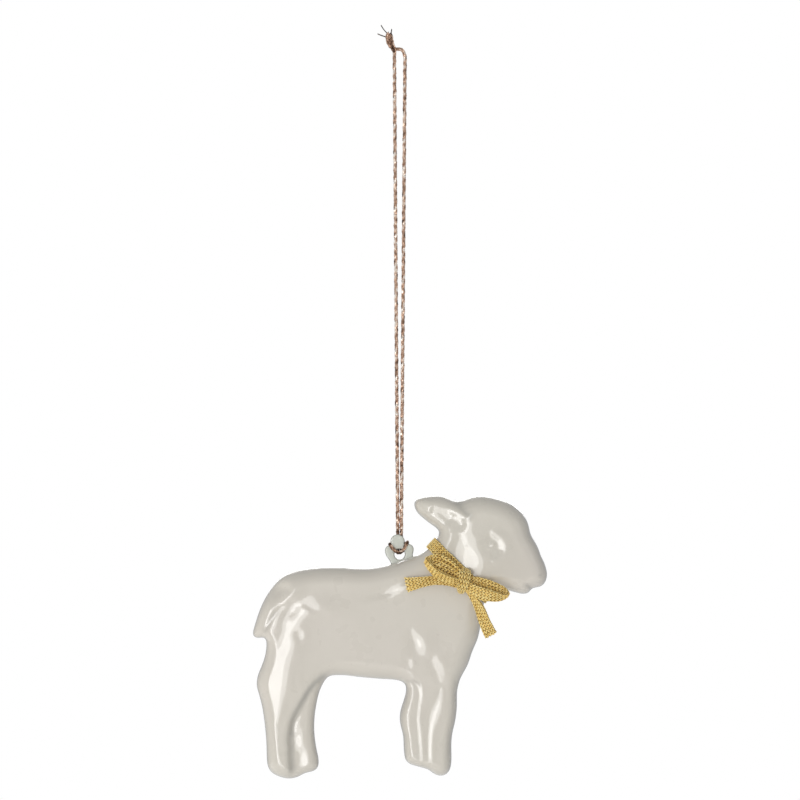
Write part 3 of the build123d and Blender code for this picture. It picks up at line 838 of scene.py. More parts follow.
def knit_strip(parts, strip, wales=4, course=0.84, thick=0.20, faces=(1, -1), shade=0.0, seed_value=1, start=0.0, stop=None, crease=None):
    """Columns of knitted V stitches on both faces of a strip, over a thin ground."""
    rand = np.random.RandomState(seed_value)
    stop = strip.length if stop is None else stop

    def sunk(ss, vv):
        """A lengthwise crease: (where across, half width, depth, from, to), from and to as parts of the length."""
        if crease is None:
            return np.zeros(len(ss))
        v_at, wide, deep, a, b = crease
        k = np.clip((ss / strip.length - a) / 0.06, 0, 1) * np.clip((b - ss / strip.length) / 0.06, 0, 1)
        return deep * np.exp(-(((vv - v_at) / wide) ** 2)) * k

    # ground: a thin closed sheet, coloured darker than the stitches as painted shade between them
    ns = max(4, int((stop - start) / 0.25))
    s = np.linspace(start, stop, ns, endpoint=not strip.closed)
    vs = np.linspace(-0.97, 0.97, 7)
    S, V = np.meshgrid(s, vs, indexing="ij")
    p, n, _, _ = strip.at(S.ravel(), V.ravel())
    p = p + np.array([[0.0, 1.0, 0.0]]) * sunk(S.ravel(), V.ravel())[:, None]
    half = 0.5 * thick * np.sqrt(np.clip(1 - (V.ravel() / 1.02) ** 4, 0.04, 1))[:, None]
    top, bottom = p + n * half, p - n * half
    top, bottom = top.reshape(ns, 7, 3), bottom.reshape(ns, 7, 3)
    ring = np.concatenate([top, bottom[:, ::-1]], 1)
    verts = ring.reshape(-1, 3)
    f = grid_faces(ns, 14, closed_cols=True, closed_rows=strip.closed)
    parts.add(verts, f, -0.10 + shade)
    if not strip.closed:
        caps = []
        for row in (0, ns - 1):
            base = row * 14
            for c in range(6):
                q = [base + c, base + c + 1, base + 12 - c, base + 13 - c]
                caps.append(q if row == 0 else q[::-1])
        parts.f.append(np.array(caps) + parts.n - len(verts))
    # stitches
    rows = int((stop - start) / course)
    pitch = (stop - start) / rows
    K, M = 5, 6
    tt = np.linspace(0, 1, K)
    radius = np.array([0.45, 0.95, 1.0, 0.9, 0.4])
    ang = np.linspace(0, 2 * math.pi, M, endpoint=False)
    verts_all, tone_all = [], []
    for face in faces:
        i, j, side = np.meshgrid(np.arange(rows), np.arange(wales), [-1, 1], indexing="ij")
        i, j, side = i.ravel(), j.ravel(), side.ravel()
        count = len(i)
        jitter = rand.normal(0, 0.03, (count, 3))
        fat = rand.normal(1, 0.08, count)
        tone = rand.uniform(0.50, 0.92, count)
        s0 = start + (i + 0.15) * pitch
        v0 = -1 + (2 * j + 1) / wales
        cell = 2.0 / wales
        body = []
        for k, t in enumerate(tt):
            ss = s0 + pitch * (-0.25 + 1.15 * t) + jitter[:, 0] * 0.5
            vv = np.clip(v0 * 0.97 + side * cell * (0.04 + 0.44 * t) + jitter[:, 1] * 0.4, -1.04, 1.04)
            ss = ss if strip.closed else np.clip(ss, start - 0.05, stop + 0.05)
            p, n, tg, width = strip.at(ss, vv)
            low = sunk(ss, vv)
            # painted shade: stitches darker where the crease sinks them
            tone = tone - 0.12 * low
            p = p + np.array([[0.0, 1.0, 0.0]]) * low[:, None]
            n = n * face
            across = np.cross(n, tg)
            across /= np.maximum(np.linalg.norm(across, axis=1), 1e-9)[:, None]
            along_arm = tg * 0.78 + across * (side * face * 0.62)[:, None]
            across = np.cross(n, along_arm)
            across /= np.maximum(np.linalg.norm(across, axis=1), 1e-9)[:, None]
            r_side = np.minimum(0.185, 0.44 * cell * 0.5 * width) * radius[k] * fat
            r_up = np.full(count, 0.165 * radius[k]) * fat
            lift = thick * 0.5 + 0.05 + 0.13 * math.sin(math.pi * t) + jitter[:, 2] * 0.3
            centre = p + n * lift[:, None]
            ring = (
                centre[:, None, :]
                + across[:, None, :] * (np.cos(ang)[None, :, None] * r_side[:, None, None])
                + n[:, None, :] * (np.sin(ang)[None, :, None] * r_up[:, None, None])
            )
            body.append(ring)
        body = np.stack(body, 1)  # count, K, M, 3
        verts_all.append(body.reshape(-1, 3))
        # painted highlight in the middle of each stitch and painted shade at its two ends
        stitch_light_and_shade = np.array([-0.36, -0.05, 0.10, 0.03, -0.34])
        tone_all.append((tone[:, None, None] + stitch_light_and_shade[None, :, None] + np.zeros((1, 1, M))).reshape(-1) + shade)
    verts = np.concatenate(verts_all)
    total = len(verts) // (K * M)
    one = grid_faces(K, M, closed_cols=True)
    ends = np.array([[0, 3, 2, 1], [0, 5, 4, 3], [24, 25, 26, 27], [24, 27, 28, 29]])
    one = np.concatenate([one, ends])
    f = (one[None] + (np.arange(total) * K * M)[:, None, None]).reshape(-1, 4)
    parts.add(verts, f, np.concatenate(tone_all))
    return pitch


def yarn(parts, path, radius, tone, sides=6, taper=True):
    """A round thread along a path."""
    p = np.asarray(path, float)
    t = np.gradient(p, axis=0)
    t /= np.maximum(np.linalg.norm(t, axis=1), 1e-9)[:, None]
    up = np.array([0.31, 0.52, 0.79])
    a = np.cross(t, up)
    a /= np.maximum(np.linalg.norm(a, axis=1), 1e-9)[:, None]
    b = np.cross(t, a)
    r = np.full(len(p), radius)
    if taper:
        r = r * np.minimum(1, np.minimum(np.arange(len(p)) + 0.35, np.arange(len(p))[::-1] + 0.35))
    ang = np.linspace(0, 2 * math.pi, sides, endpoint=False)
    ring = p[:, None, :] + r[:, None, None] * (
        np.cos(ang)[None, :, None] * a[:, None, :] + np.sin(ang)[None, :, None] * b[:, None, :]
    )
    parts.add(ring.reshape(-1, 3), grid_faces(len(p), sides, closed_cols=True), tone)


# collar: hugs the neck's own section, row by row across its width
NAPE, THROAT = np.array([8.40, -123.60]), np.array([21.35, -136.10])
span = THROAT - NAPE
reach_len = np.linalg.norm(span)
along = span / reach_len
cross = np.array([-along[1], along[0]])  # in the seam plane, up and to the right


def neck_ring(v):
    """The taut line round the neck at v millimetres along its axis, as points about the section's middle."""
    ss = np.linspace(-2.5, reach_len + 2.5, 220)
    p = NAPE[None] + along[None] * ss[:, None] + cross[None] * v
    inside = is_inside(p, outline)
    mid = len(ss) // 2
    lo = mid
    while lo > 0 and inside[lo - 1]:
        lo -= 1
    hi = mid
    while hi < len(ss) - 1 and inside[hi + 1]:
        hi += 1
    ss, p = ss[lo : hi + 1], p[lo : hi + 1]
    h = height(p)
    pts = np.concatenate([np.stack([ss, -h], 1), np.stack([ss, h], 1)[::-1]])
    # convex hull by gift of sorted angles (monotone chain)
    order = pts[np.lexsort((pts[:, 1], pts[:, 0]))]

    def chain(q):
        out = []
        for x in q:
            while len(out) >= 2 and np.cross(out[-1] - out[-2], x - out[-2]) <= 0:
                out.pop()
            out.append(x)
        return out[:-1]

    hull = np.array(chain(order) + chain(order[::-1]))
    c = np.array([reach_len / 2, 0.0])
    angles = np.linspace(0, 2 * math.pi, 360, endpoint=False)
    dense = resample_closed(hull, 0.05) - c
    th = np.arctan2(dense[:, 1], dense[:, 0]) % (2 * math.pi)
    rr = np.hypot(dense[:, 0], dense[:, 1])
    o = np.argsort(th)
    r = np.interp(angles, th[o], rr[o], period=2 * math.pi)
    ring2 = np.stack([r * np.cos(angles), r * np.sin(angles)], 1)
    ring2 = smooth_closed(ring2, 0.35, 2 * math.pi * r.mean() / 360)
    nn = ring2 / np.linalg.norm(ring2, axis=1)[:, None]
    return ring2 + nn * 0.20 + c


def neck_point(ring2, v):
    q = NAPE[None] + along[None] * ring2[:, :1] + cross[None] * v
    return np.stack([q[:, 0], ring2[:, 1], q[:, 1]], 1)


collar_a = neck_point(neck_ring(-1.35), -1.45)
collar_b = neck_point(neck_ring(1.60), 1.72)
collar_strip = Strip(collar_a, collar_b, closed=True)
# find which face of the strip points away from the neck, and knit the stitches on that face
p, nrm, _, _ = collar_strip.at(np.array([0.0]), np.array([0.0]))
collar_centre = (collar_a.mean(0) + collar_b.mean(0)) / 2
collar_out = 1 if ((p[0] - collar_centre) @ nrm[0]) > 0 else -1
collar_parts = Parts()
knit_strip(collar_parts, collar_strip, wales=4, faces=(collar_out,), seed_value=3)
collar = collar_parts.build("ribbon_neck_band")

# loops: out along the front, round the end and back along the lamb; upper edge first, lower edge second
LOOP_L_A = space([
    (461.5, 576.2, -8.3), (455.0, 576.2, -8.8), (449.5, 574.6, -9.1), (443.6, 572.2, -9.3), (438.0, 568.8, -9.3), (433.4, 564.8, -9.2), (430.0, 561.3, -9.1),
    (427.6, 558.8, -8.8), (426.5, 557.3, -8.3), (427.2, 556.0, -7.7), (430.0, 554.4, -7.3), (434.7, 552.7, -7.15), (439.8, 552.8, -7.1), (445.3, 554.9, -7.1),
    (450.3, 557.6, -7.1), (456.0, 563.0, -7.2), (461.5, 569.4, -7.4)])
LOOP_L_B = space([
    (460.5, 586.0, -7.7), (455.0, 583.6, -7.9), (448.0, 581.4, -8.1), (441.0, 578.8, -8.2), (434.5, 575.4, -8.2), (429.8, 570.8, -8.1), (426.4, 565.8, -7.9),
    (424.9, 562.0, -7.7), (425.1, 560.6, -7.4), (426.6, 561.0, -7.1), (430.0, 563.4, -6.85), (435.0, 567.2, -6.75), (440.0, 570.6, -6.7), (445.0, 573.2, -6.7),
    (450.0, 575.4, -6.75), (456.0, 577.8, -6.9), (461.5, 579.8, -7.1)])
LOOP_R_A = space([
    (466.5, 580.0, -8.5), (471.0, 581.5, -9.0), (476.0, 583.6, -9.3), (482.0, 585.6, -9.5), (489.7, 588.0, -9.5), (496.0, 590.4, -9.4), (501.4, 592.3, -9.1),
    (505.3, 592.6, -8.7), (507.2, 591.0, -8.1), (506.8, 588.6, -7.6), (503.6, 585.4, -7.4), (498.4, 582.5, -7.3), (492.0, 579.9, -7.2), (486.0, 577.8, -7.2),
    (480.0, 576.2, -7.2), (474.5, 575.4, -7.2), (468.0, 575.6, -7.4)])
LOOP_R_B = space([
    (465.0, 590.5, -8.2), (469.5, 593.9, -8.6), (474.5, 596.8, -8.9), (481.0, 599.0, -9.0), (488.5, 600.0, -9.0), (495.5, 600.2, -8.9), (501.5, 599.2, -8.6),
    (506.0, 596.6, -8.3), (508.3, 593.8, -8.0), (507.0, 592.6, -7.6), (503.0, 593.2, -7.1), (498.0, 593.5, -6.95), (492.0, 592.5, -6.85), (486.0, 590.6, -6.85),
    (480.0, 588.5, -6.85), (474.5, 586.6, -6.9), (468.0, 585.5, -7.1)])
loop_l_parts = Parts()
knit_strip(loop_l_parts, Strip(LOOP_L_A, LOOP_L_B, fold=(-0.42, 0.11, -0.30)), wales=4, seed_value=5,
           crease=(-0.36, 0.15, 0.55, 0.56, 1.02))
loop_l = loop_l_parts.build("ribbon_loop_left")
loop_r_parts = Parts()
knit_strip(loop_r_parts, Strip(LOOP_R_A, LOOP_R_B, cup=0.10), wales=4, seed_value=6)
loop_r = loop_r_parts.build("ribbon_loop_right")

# tails: upper edge first
TAIL_L_TOP = space([
    (463.0, 579.5, -7.9), (456.0, 578.6, -7.6), (448.0, 576.4, -7.2), (440.0, 575.3, -6.9), (432.0, 575.2, -6.6), (423.0, 575.8, -6.45),
    (414.0, 576.3, -6.35), (404.8, 576.5, -6.3)])
TAIL_L_LOW = space([
    (463.0, 588.5, -7.7), (456.4, 586.6, -7.4), (449.0, 584.9, -7.3), (441.9, 583.9, -7.2), (434.0, 584.0, -7.0), (426.6, 585.2, -6.75),
    (416.5, 588.3, -6.45), (408.0, 591.3, -6.35)])
TAIL_R_LEFT = space([
    (462.5, 587.0, -8.2), (466.2, 592.0, -8.3), (469.6, 597.6, -8.1), (472.8, 604.4, -7.7), (475.2, 611.5, -7.4), (477.4, 619.0, -7.2),
    (480.2, 626.8, -7.0), (483.0, 633.4, -6.8), (485.0, 637.0, -6.7)])
TAIL_R_RIGHT = space([
    (468.5, 585.5, -8.0), (472.5, 591.8, -8.6), (477.5, 597.8, -8.7), (482.6, 604.6, -8.5), (486.2, 611.4, -8.2), (489.0, 618.0, -7.9),
    (491.8, 623.2, -7.6), (494.2, 627.6, -7.4), (496.0, 630.4, -7.3)])
tail_l_parts = Parts()
tail_l_strip = Strip(TAIL_L_TOP, TAIL_L_LOW, cup=0.12)
knit_strip(tail_l_parts, tail_l_strip, wales=4, seed_value=8)
tail_r_parts = Parts()
tail_r_strip = Strip(TAIL_R_LEFT, TAIL_R_RIGHT, cup=-0.14)
knit_strip(tail_r_parts, tail_r_strip, wales=4, seed_value=9)


def fray(parts, strip, seed_value, count=22):
    """Loose ends of yarn where the ribbon was cut."""
    rand = np.random.RandomState(seed_value)
    for _ in range(count):
        v = rand.uniform(-0.95, 0.95)
        p, n, t, _ = strip.at(np.array([strip.length - 0.12]), np.array([v]))
        p, n, t = p[0], n[0], t[0]
        w = np.cross(n, t)
        length = rand.uniform(0.16, 0.42)
        bend = rand.normal(0, 0.35)
        lift = rand.normal(0, 0.25)
        k = np.linspace(0, 1, 6)[:, None]
        path = p + t * length * k + (w * bend + n * lift) * length * k**2 + n * rand.uniform(-0.12, 0.12)
        yarn(parts, path, rand.uniform(0.08, 0.14), rand.uniform(0.45, 0.95))


fray(tail_l_parts, tail_l_strip, 21)
fray(tail_r_parts, tail_r_strip, 22)
tail_l = tail_l_parts.build("ribbon_tail_left")
tail_r = tail_r_parts.build("ribbon_tail_right")

# knot: one turn of ribbon pulled tight over the loops' roots, and the strand under it
KNOT_LEFT = space([
    (461.2, 569.6, -6.5), (460.2, 570.4, -7.6), (458.8, 573.4, -9.0), (458.7, 577.6, -9.4), (457.4, 581.6, -9.4), (456.9, 585.0, -8.7), (457.8, 587.2, -7.3), (458.8, 587.8, -6.6)])
KNOT_RIGHT = space([
    (468.6, 570.8, -6.5), (469.4, 571.8, -7.4), (469.5, 575.2, -8.8), (468.3, 579.8, -9.3), (467.0, 584.6, -9.3), (465.4, 588.2, -8.6), (463.8, 590.2, -7.3), (462.8, 590.4, -6.6)])
knot_parts = Parts()
knit_strip(knot_parts, Strip(KNOT_LEFT, KNOT_RIGHT, cup=0.62), wales=4, shade=0.10, seed_value=11)
# packing under the turn, so that the knot is solid
core = open_spline(space([(465.0, 571, -7.2), (464.2, 576, -7.9), (463.2, 581, -8.1), (461.9, 585.6, -7.8), (461.2, 588, -7.1)]), 0.3)
yarn(knot_parts, core, 1.0, 0.35, sides=14)
knot = knot_parts.build("ribbon_knot")


def nurbs_points(name, points_mm, every=0.12):
    """Points read from a smooth NURBS line through the route's control points, evenly spaced."""
    curve = bpy.data.curves.new(name + "_line", "CURVE")
    curve.dimensions = "3D"
    spline = curve.splines.new("NURBS")
    spline.points.add(len(points_mm) - 1)
    for q, p in zip(spline.points, points_mm):
        q.co = (p[0] * MM, p[1] * MM, p[2] * MM, 1)
    spline.order_u = 3
    spline.use_endpoint_u = True
    spline.resolution_u = 48
    obj = bpy.data.objects.new(name + "_line", curve)
    bpy.context.scene.collection.objects.link(obj)
    mesh = bpy.data.meshes.new_from_object(obj)
    co = np.array([v.co[:] for v in mesh.vertices]) / MM
    bpy.data.meshes.remove(mesh)
    bpy.data.objects.remove(obj)
    bpy.data.curves.remove(curve)
    run = np.concatenate([[0], np.cumsum(np.linalg.norm(np.diff(co, axis=0), axis=1))])
    keep = np.concatenate([[True], np.diff(run) > 1e-7])
    co, run = co[keep], run[keep]
    count = max(3, int(run[-1] / every) + 1)
    at = np.linspace(0, run[-1], count)
    return np.stack([np.interp(at, run, co[:, c]) for c in range(3)], 1)


def frames_along(path):
    """Tangents and two turning-free cross directions along a path."""
    t = np.gradient(path, axis=0)
    t /= np.maximum(np.linalg.norm(t, axis=1), 1e-9)[:, None]
    a = np.cross(t[0], [0, 1, 0.013])
    a /= np.linalg.norm(a)
    side = [a]
    for i in range(1, len(t)):
        v = side[-1] - t[i] * (side[-1] @ t[i])
        v /= np.linalg.norm(v)
        side.append(v)
    side = np.array(side)
    return t, side, np.cross(t, side)


PLY_TONES = (0.30, 0.50, 0.72)


def strand(parts, path, run0=0.0, plies=3, ply_r=0.265, helix_r=0.235, pitch=7.0, sides=6, seed_value=1, hand=1, shade=0.0):
    """Twisted metallic twine along a path; run0 keeps the twist unbroken from piece to piece."""
    rand = np.random.RandomState(seed_value)
    t, a, b = frames_along(path)
    run = run0 + np.concatenate([[0], np.cumsum(np.linalg.norm(np.diff(path, axis=0), axis=1))])
    for k in range(plies):
        ang = hand * 2 * math.pi * run / pitch + 2 * math.pi * k / plies
        wobble = 1 + 0.10 * np.sin(run * 2.3 + k * 2.1) + 0.07 * np.sin(run * 5.1 + k)
        centre = path + (np.cos(ang)[:, None] * a + np.sin(ang)[:, None] * b) * (helix_r * wobble)[:, None]
        out = np.cos(ang)[:, None] * a + np.sin(ang)[:, None] * b
        tt = np.gradient(centre, axis=0)
        tt /= np.linalg.norm(tt, axis=1)[:, None]
        side = np.cross(tt, out)
        side /= np.linalg.norm(side, axis=1)[:, None]
        up = np.cross(side, tt)
        own = -hand * 2 * math.pi * run / 2.9 + k
        th = np.linspace(0, 2 * math.pi, sides, endpoint=False)
        # the foil's facets: an uneven section that turns along the ply
        uneven = 1 + 0.16 * np.sin(run[:, None] * 7.3 + th[None] * 2 + k) + 0.10 * np.sin(run[:, None] * 13.1 - th[None] * 3)
        r = ply_r * uneven
        ca, sa = np.cos(th[None] + own[:, None]), np.sin(th[None] + own[:, None])
        ring = centre[:, None] + (r * ca)[..., None] * side[:, None] + (r * sa * 0.9)[..., None] * up[:, None]
        verts = ring.reshape(-1, 3)
        tone = np.repeat(PLY_TONES[k % 3] + 0.22 * np.sin(run * 0.9 + k * 1.7) + 0.15 * np.sin(run * 3.7 + k), sides)
        parts.add(verts, grid_faces(len(path), sides, closed_cols=True), tone + shade)
        caps = Parts()
        n0 = parts.n - len(verts)
        last = parts.n - sides
        quads = [[n0, n0 + 3, n0 + 2, n0 + 1], [n0, n0 + 5, n0 + 4, n0 + 3]]
        quads += [[last, last + 1, last + 2, last + 3], [last, last + 3, last + 4, last + 5]]
        parts.f.append(np.array(quads))
    return run[-1]


# the routes, as in the model's own twine
LEG_X, ARM_Y = 0.47, 0.97
LEFT_ROUTE = [(-1.28, 0, -0.35), (-1.24, 0, -5.75), (-LEG_X, 0, -116.80)]
RIGHT_ROUTE = [(-1.05, 0, 0.45), (1.40, 0, 0.85), (1.36, 0, -4.55), (LEG_X, 0, -116.80)]
left_path = nurbs_points("left", LEFT_ROUTE)
right_path = nurbs_points("right", RIGHT_ROUTE)


left_parts, right_parts = Parts(), Parts()
left_run = strand(left_parts, left_path, seed_value=1)
right_run = strand(right_parts, right_path, run0=0.7, seed_value=2)
strand_left = left_parts.build("twine_left", smooth=False)
strand_right = right_parts.build("twine_right", smooth=False)

neck1, neck2, hitch_parts = Parts(), Parts(), Parts()
runs = []
for x, run0 in ((-LEG_X, left_run), (LEG_X, right_run)):
    upper_path = np.stack([np.full(14, x), np.zeros(14), np.linspace(-116.80, -118.10, 14)], 1)
    r = strand(neck1, upper_path, run0=run0)
    lower_path = np.stack([np.full(14, x), np.zeros(14), np.linspace(-118.10, -119.50, 14)], 1)
    runs.append(strand(neck2, lower_path, run0=r))
neck_upper = neck1.build("twine_bend_upper", smooth=False)
neck_lower = neck2.build("twine_bend_lower", smooth=False)

HITCH_LEFT = [
    (-LEG_X, 0.0, -119.50), (-LEG_X, 0.25, -119.90), (-LEG_X, ARM_Y, -120.45), (-LEG_X, ARM_Y, -122.6), (-LEG_X, ARM_Y + 0.05, -124.75),
    (-0.40, ARM_Y - 0.05, -125.42), (-0.36, 0.0, -125.42), (-0.38, -ARM_Y - 0.02, -125.38), (-1.22, -ARM_Y - 0.05, -124.88), (-1.80, -ARM_Y - 0.03, -124.30),
    (-2.32, -ARM_Y + 0.05, -123.50), (-2.48, 0.0, -123.30), (-2.20, 1.55, -123.35), (-1.2, 1.98, -123.42), (0.0, 1.98, -123.35)]
HITCH_RIGHT = [
    (LEG_X, 0.0, -119.50), (LEG_X, 0.25, -119.90), (LEG_X, ARM_Y, -120.45), (LEG_X, ARM_Y, -122.6), (LEG_X, ARM_Y + 0.05, -124.75),
    (0.30, ARM_Y - 0.05, -125.42), (0.18, 0.0, -125.42), (0.06, -ARM_Y - 0.05, -125.36), (0.85, -ARM_Y - 0.05, -124.95), (1.35, -ARM_Y - 0.03, -124.05),
    (1.85, -ARM_Y + 0.05, -122.90), (2.05, 0.0, -122.75), (1.80, 1.55, -123.05), (1.0, 1.98, -123.30), (0.0, 1.98, -123.35)]
strand(hitch_parts, nurbs_points("hitch_left", HITCH_LEFT), run0=runs[0], ply_r=0.235, pitch=3.2, shade=-0.22)
strand(hitch_parts, nurbs_points("hitch_right", HITCH_RIGHT), run0=runs[1], ply_r=0.235, pitch=3.2, shade=-0.22)
hitch = hitch_parts.build("twine_hitch_wrap", smooth=False)

# top knot: both ends twisted tightly together, cut short
knot2_parts = Parts()
spine = open_spline(np.array([(-1.28, 0.0, -0.50), (-1.36, 0.0, 0.30), (-1.88, 0.0, 1.20), (-2.35, 0.0, 2.25), (-2.55, 0.0, 3.40), (-2.50, 0.0, 4.50)]), 0.08)
kt = np.gradient(spine, axis=0)
kt /= np.linalg.norm(kt, axis=1)[:, None]
kb = np.tile(np.array([0.0, 1.0, 0.0]), (len(spine), 1))
ka = np.cross(kb, kt)
s = np.linspace(0, 1, len(spine))
for which in range(4):
    ang = 2 * math.pi * s * 1.15 + math.pi / 2 * which + 0.5
    rad = 0.14 + 0.42 * np.clip((s - 0.08) * 2.2, 0, 1) + 0.03 * which * s
    p = spine + (np.cos(ang) * rad)[:, None] * ka + (np.sin(ang) * rad)[:, None] * kb
    p = p[: len(p) - (0, 5, 1, 7)[which]]
    strand(knot2_parts, p, run0=which * 1.3, ply_r=0.22, helix_r=0.21, pitch=3.4, hand=-1, shade=-0.16)
twine_knot = knot2_parts.build("twine_knot_twist", smooth=False)

ends_parts = Parts()
for pts, r in (
    ([(-2.75, 0.05, 3.9), (-3.35, 0.10, 4.7), (-3.95, 0.2, 5.4), (-4.65, 0.3, 6.55)], 0.13),
    ([(-2.75, -0.1, 3.1), (-3.6, -0.2, 3.55), (-4.5, -0.35, 3.85), (-5.55, -0.45, 4.30)], 0.15),
    ([(-2.10, 0.0, 3.9), (-2.05, 0.05, 4.7), (-1.95, 0.1, 5.55)], 0.16),
    ([(-2.60, 0.1, 3.9), (-2.75, 0.15, 4.4), (-2.70, 0.2, 4.95)], 0.09),
):
    yarn(ends_parts, open_spline(np.array(pts), 0.2), r, 0.5)
twine_ends = ends_parts.build("twine_loose_ends", smooth=True)

# ------------------------------------------------------------ materials ----


def new_material(name):
    m = bpy.data.materials.new(name)
    m.use_nodes = True
    nt = m.node_tree
    nt.nodes.clear()
    out = nt.nodes.new("ShaderNodeOutputMaterial")
    bsdf = nt.nodes.new("ShaderNodeBsdfPrincipled")
    nt.links.new(bsdf.outputs[0], out.inputs[0])
    return m, nt, bsdf


def node(nt, kind, inputs=None, **props):
    n = nt.nodes.new(kind)
    for k, v in props.items():
        setattr(n, k, v)
    for k, v in (inputs or {}).items():
        if isinstance(v, bpy.types.NodeSocket):
            nt.links.new(v, n.inputs[k])
        else:
            n.inputs[k].default_value = v
    return n


def ramp(nt, fac, stops):
    n = nt.nodes.new("ShaderNodeValToRGB")
    el = n.color_ramp.elements
    while len(el) > 1:
        el.remove(el[-1])
    el[0].position, el[0].color = stops[0][0], (*stops[0][1], 1)
    for pos, col in stops[1:]:
        e = el.new(pos)
        e.color = (*col, 1)
    nt.links.new(fac, n.inputs[0])
    return n


def enamel(name, tint):
    m, nt, b = new_material(name)
    tex = node(nt, "ShaderNodeTexCoord")
    # the edge attribute mixes in the fourth tint: painted shade at the rims, the seam and the creases
    edge = node(nt, "ShaderNodeAttribute", attribute_name="edge")
    cloud = node(nt, "ShaderNodeTexNoise", {"Vector": tex.outputs["Object"], "Scale": 22.0, "Detail": 2.0, "Roughness": 0.4})
    cloud_c = ramp(nt, cloud.outputs["Fac"], [(0.30, tint[0]), (0.52, tint[1]), (0.72, tint[2])])
    mix = node(nt, "ShaderNodeMix", data_type="RGBA")
    nt.links.new(edge.outputs["Fac"], mix.inputs[0])
    nt.links.new(cloud_c.outputs[0], mix.inputs[6])
    mix.inputs[7].default_value = (*tint[3], 1)
    nt.links.new(mix.outputs[2], b.inputs["Base Color"])
    rough = node(nt, "ShaderNodeTexNoise", {"Vector": tex.outputs["Object"], "Scale": 260.0, "Detail": 2.0})
    rr = node(nt, "ShaderNodeMapRange", {"Value": rough.outputs["Fac"], "From Min": 0.3, "From Max": 0.7, "To Min": 0.26, "To Max": 0.36})
    nt.links.new(rr.outputs[0], b.inputs["Roughness"])
    peel = node(nt, "ShaderNodeTexNoise", {"Vector": tex.outputs["Object"], "Scale": 420.0, "Detail": 2.0, "Roughness": 0.45})
    drift = node(nt, "ShaderNodeTexNoise", {"Vector": tex.outputs["Object"], "Scale": 130.0, "Detail": 2.0, "Roughness": 0.4})
    add = node(nt, "ShaderNodeMath", {0: peel.outputs["Fac"], 1: drift.outputs["Fac"]}, operation="ADD")
    bump_node = node(nt, "ShaderNodeBump", {"Height": add.outputs[0], "Strength": 0.045, "Distance": 0.0006})
    nt.links.new(bump_node.outputs[0], b.inputs["Normal"])
    nt.links.new(bump_node.outputs[0], b.inputs["Coat Normal"])
    b.inputs["Specular IOR Level"].default_value = 0.35
    b.inputs["IOR"].default_value = 1.5
    b.inputs["Coat Weight"].default_value = 1.0
    b.inputs["Coat Roughness"].default_value = 0.034
    b.inputs["Coat IOR"].default_value = 1.55
    return m


# three cloud tints each, then the colour of the painted shade at rims, seam and creases
WARM = ((0.688, 0.646, 0.560), (0.698, 0.648, 0.568), (0.710, 0.650, 0.582), (0.34, 0.33, 0.30))
enamel_mat = enamel("lamb_enamel", WARM)
plate_mat = enamel("eyelet_enamel", ((0.66, 0.685, 0.60), (0.69, 0.70, 0.625), (0.71, 0.70, 0.65), (0.16, 0.16, 0.145)))

rib, nt, b = new_material("knit_ribbon")
tone = node(nt, "ShaderNodeAttribute", attribute_name="tone")
tex = node(nt, "ShaderNodeTexCoord")
fine = node(nt, "ShaderNodeTexNoise", {"Vector": tex.outputs["Object"], "Scale": 1500.0, "Detail": 2.0, "Roughness": 0.6})
broad = node(nt, "ShaderNodeTexNoise", {"Vector": tex.outputs["Object"], "Scale": 260.0, "Detail": 1.0})
s1 = node(nt, "ShaderNodeMath", {0: fine.outputs["Fac"], 1: 0.45}, operation="MULTIPLY")
s2 = node(nt, "ShaderNodeMath", {0: broad.outputs["Fac"], 1: 0.35}, operation="MULTIPLY")
s3 = node(nt, "ShaderNodeMath", {0: s1.outputs[0], 1: s2.outputs[0]}, operation="ADD")
s4 = node(nt, "ShaderNodeMath", {0: tone.outputs["Fac"], 1: s3.outputs[0]}, operation="ADD")
s5 = node(nt, "ShaderNodeMath", {0: s4.outputs[0], 1: -0.40}, operation="ADD")
col = ramp(nt, s5.outputs[0], [(0.0, (0.27, 0.145, 0.028)), (0.28, (0.60, 0.375, 0.085)), (0.60, (0.93, 0.665, 0.205)), (0.95, (0.99, 0.800, 0.340))])
nt.links.new(col.outputs[0], b.inputs["Base Color"])
b.inputs["Roughness"].default_value = 0.72
b.inputs["Specular IOR Level"].default_value = 0.25
b.inputs["Sheen Weight"].default_value = 0.25
b.inputs["Sheen Roughness"].default_value = 0.45
fib = node(nt, "ShaderNodeTexWave", {"Vector": tex.outputs["Object"], "Scale": 900.0, "Distortion": 6.0, "Detail": 2.0})
bmp = node(nt, "ShaderNodeBump", {"Height": fib.outputs["Fac"], "Strength": 0.35, "Distance": 0.00006})
nt.links.new(bmp.outputs[0], b.inputs["Normal"])

foil, nt, b = new_material("metallic_twine")
tone = node(nt, "ShaderNodeAttribute", attribute_name="tone")
tex = node(nt, "ShaderNodeTexCoord")
speck = node(nt, "ShaderNodeTexVoronoi", {"Vector": tex.outputs["Object"], "Scale": 1400.0})
n1 = node(nt, "ShaderNodeTexNoise", {"Vector": tex.outputs["Object"], "Scale": 700.0, "Detail": 2.0})
m1 = node(nt, "ShaderNodeMath", {0: n1.outputs["Fac"], 1: 1.5}, operation="MULTIPLY")
m2 = node(nt, "ShaderNodeMath", {0: tone.outputs["Fac"], 1: m1.outputs[0]}, operation="ADD")
m3 = node(nt, "ShaderNodeMath", {0: m2.outputs[0], 1: -0.78}, operation="ADD")
col = ramp(nt, m3.outputs[0], [(0.0, (0.10, 0.050, 0.030)), (0.26, (0.44, 0.275, 0.190)), (0.58, (0.68, 0.455, 0.330)), (0.80, (0.92, 0.72, 0.58)), (1.0, (1.0, 0.90, 0.80))])
nt.links.new(col.outputs[0], b.inputs["Base Color"])
b.inputs["Metallic"].default_value = 0.80
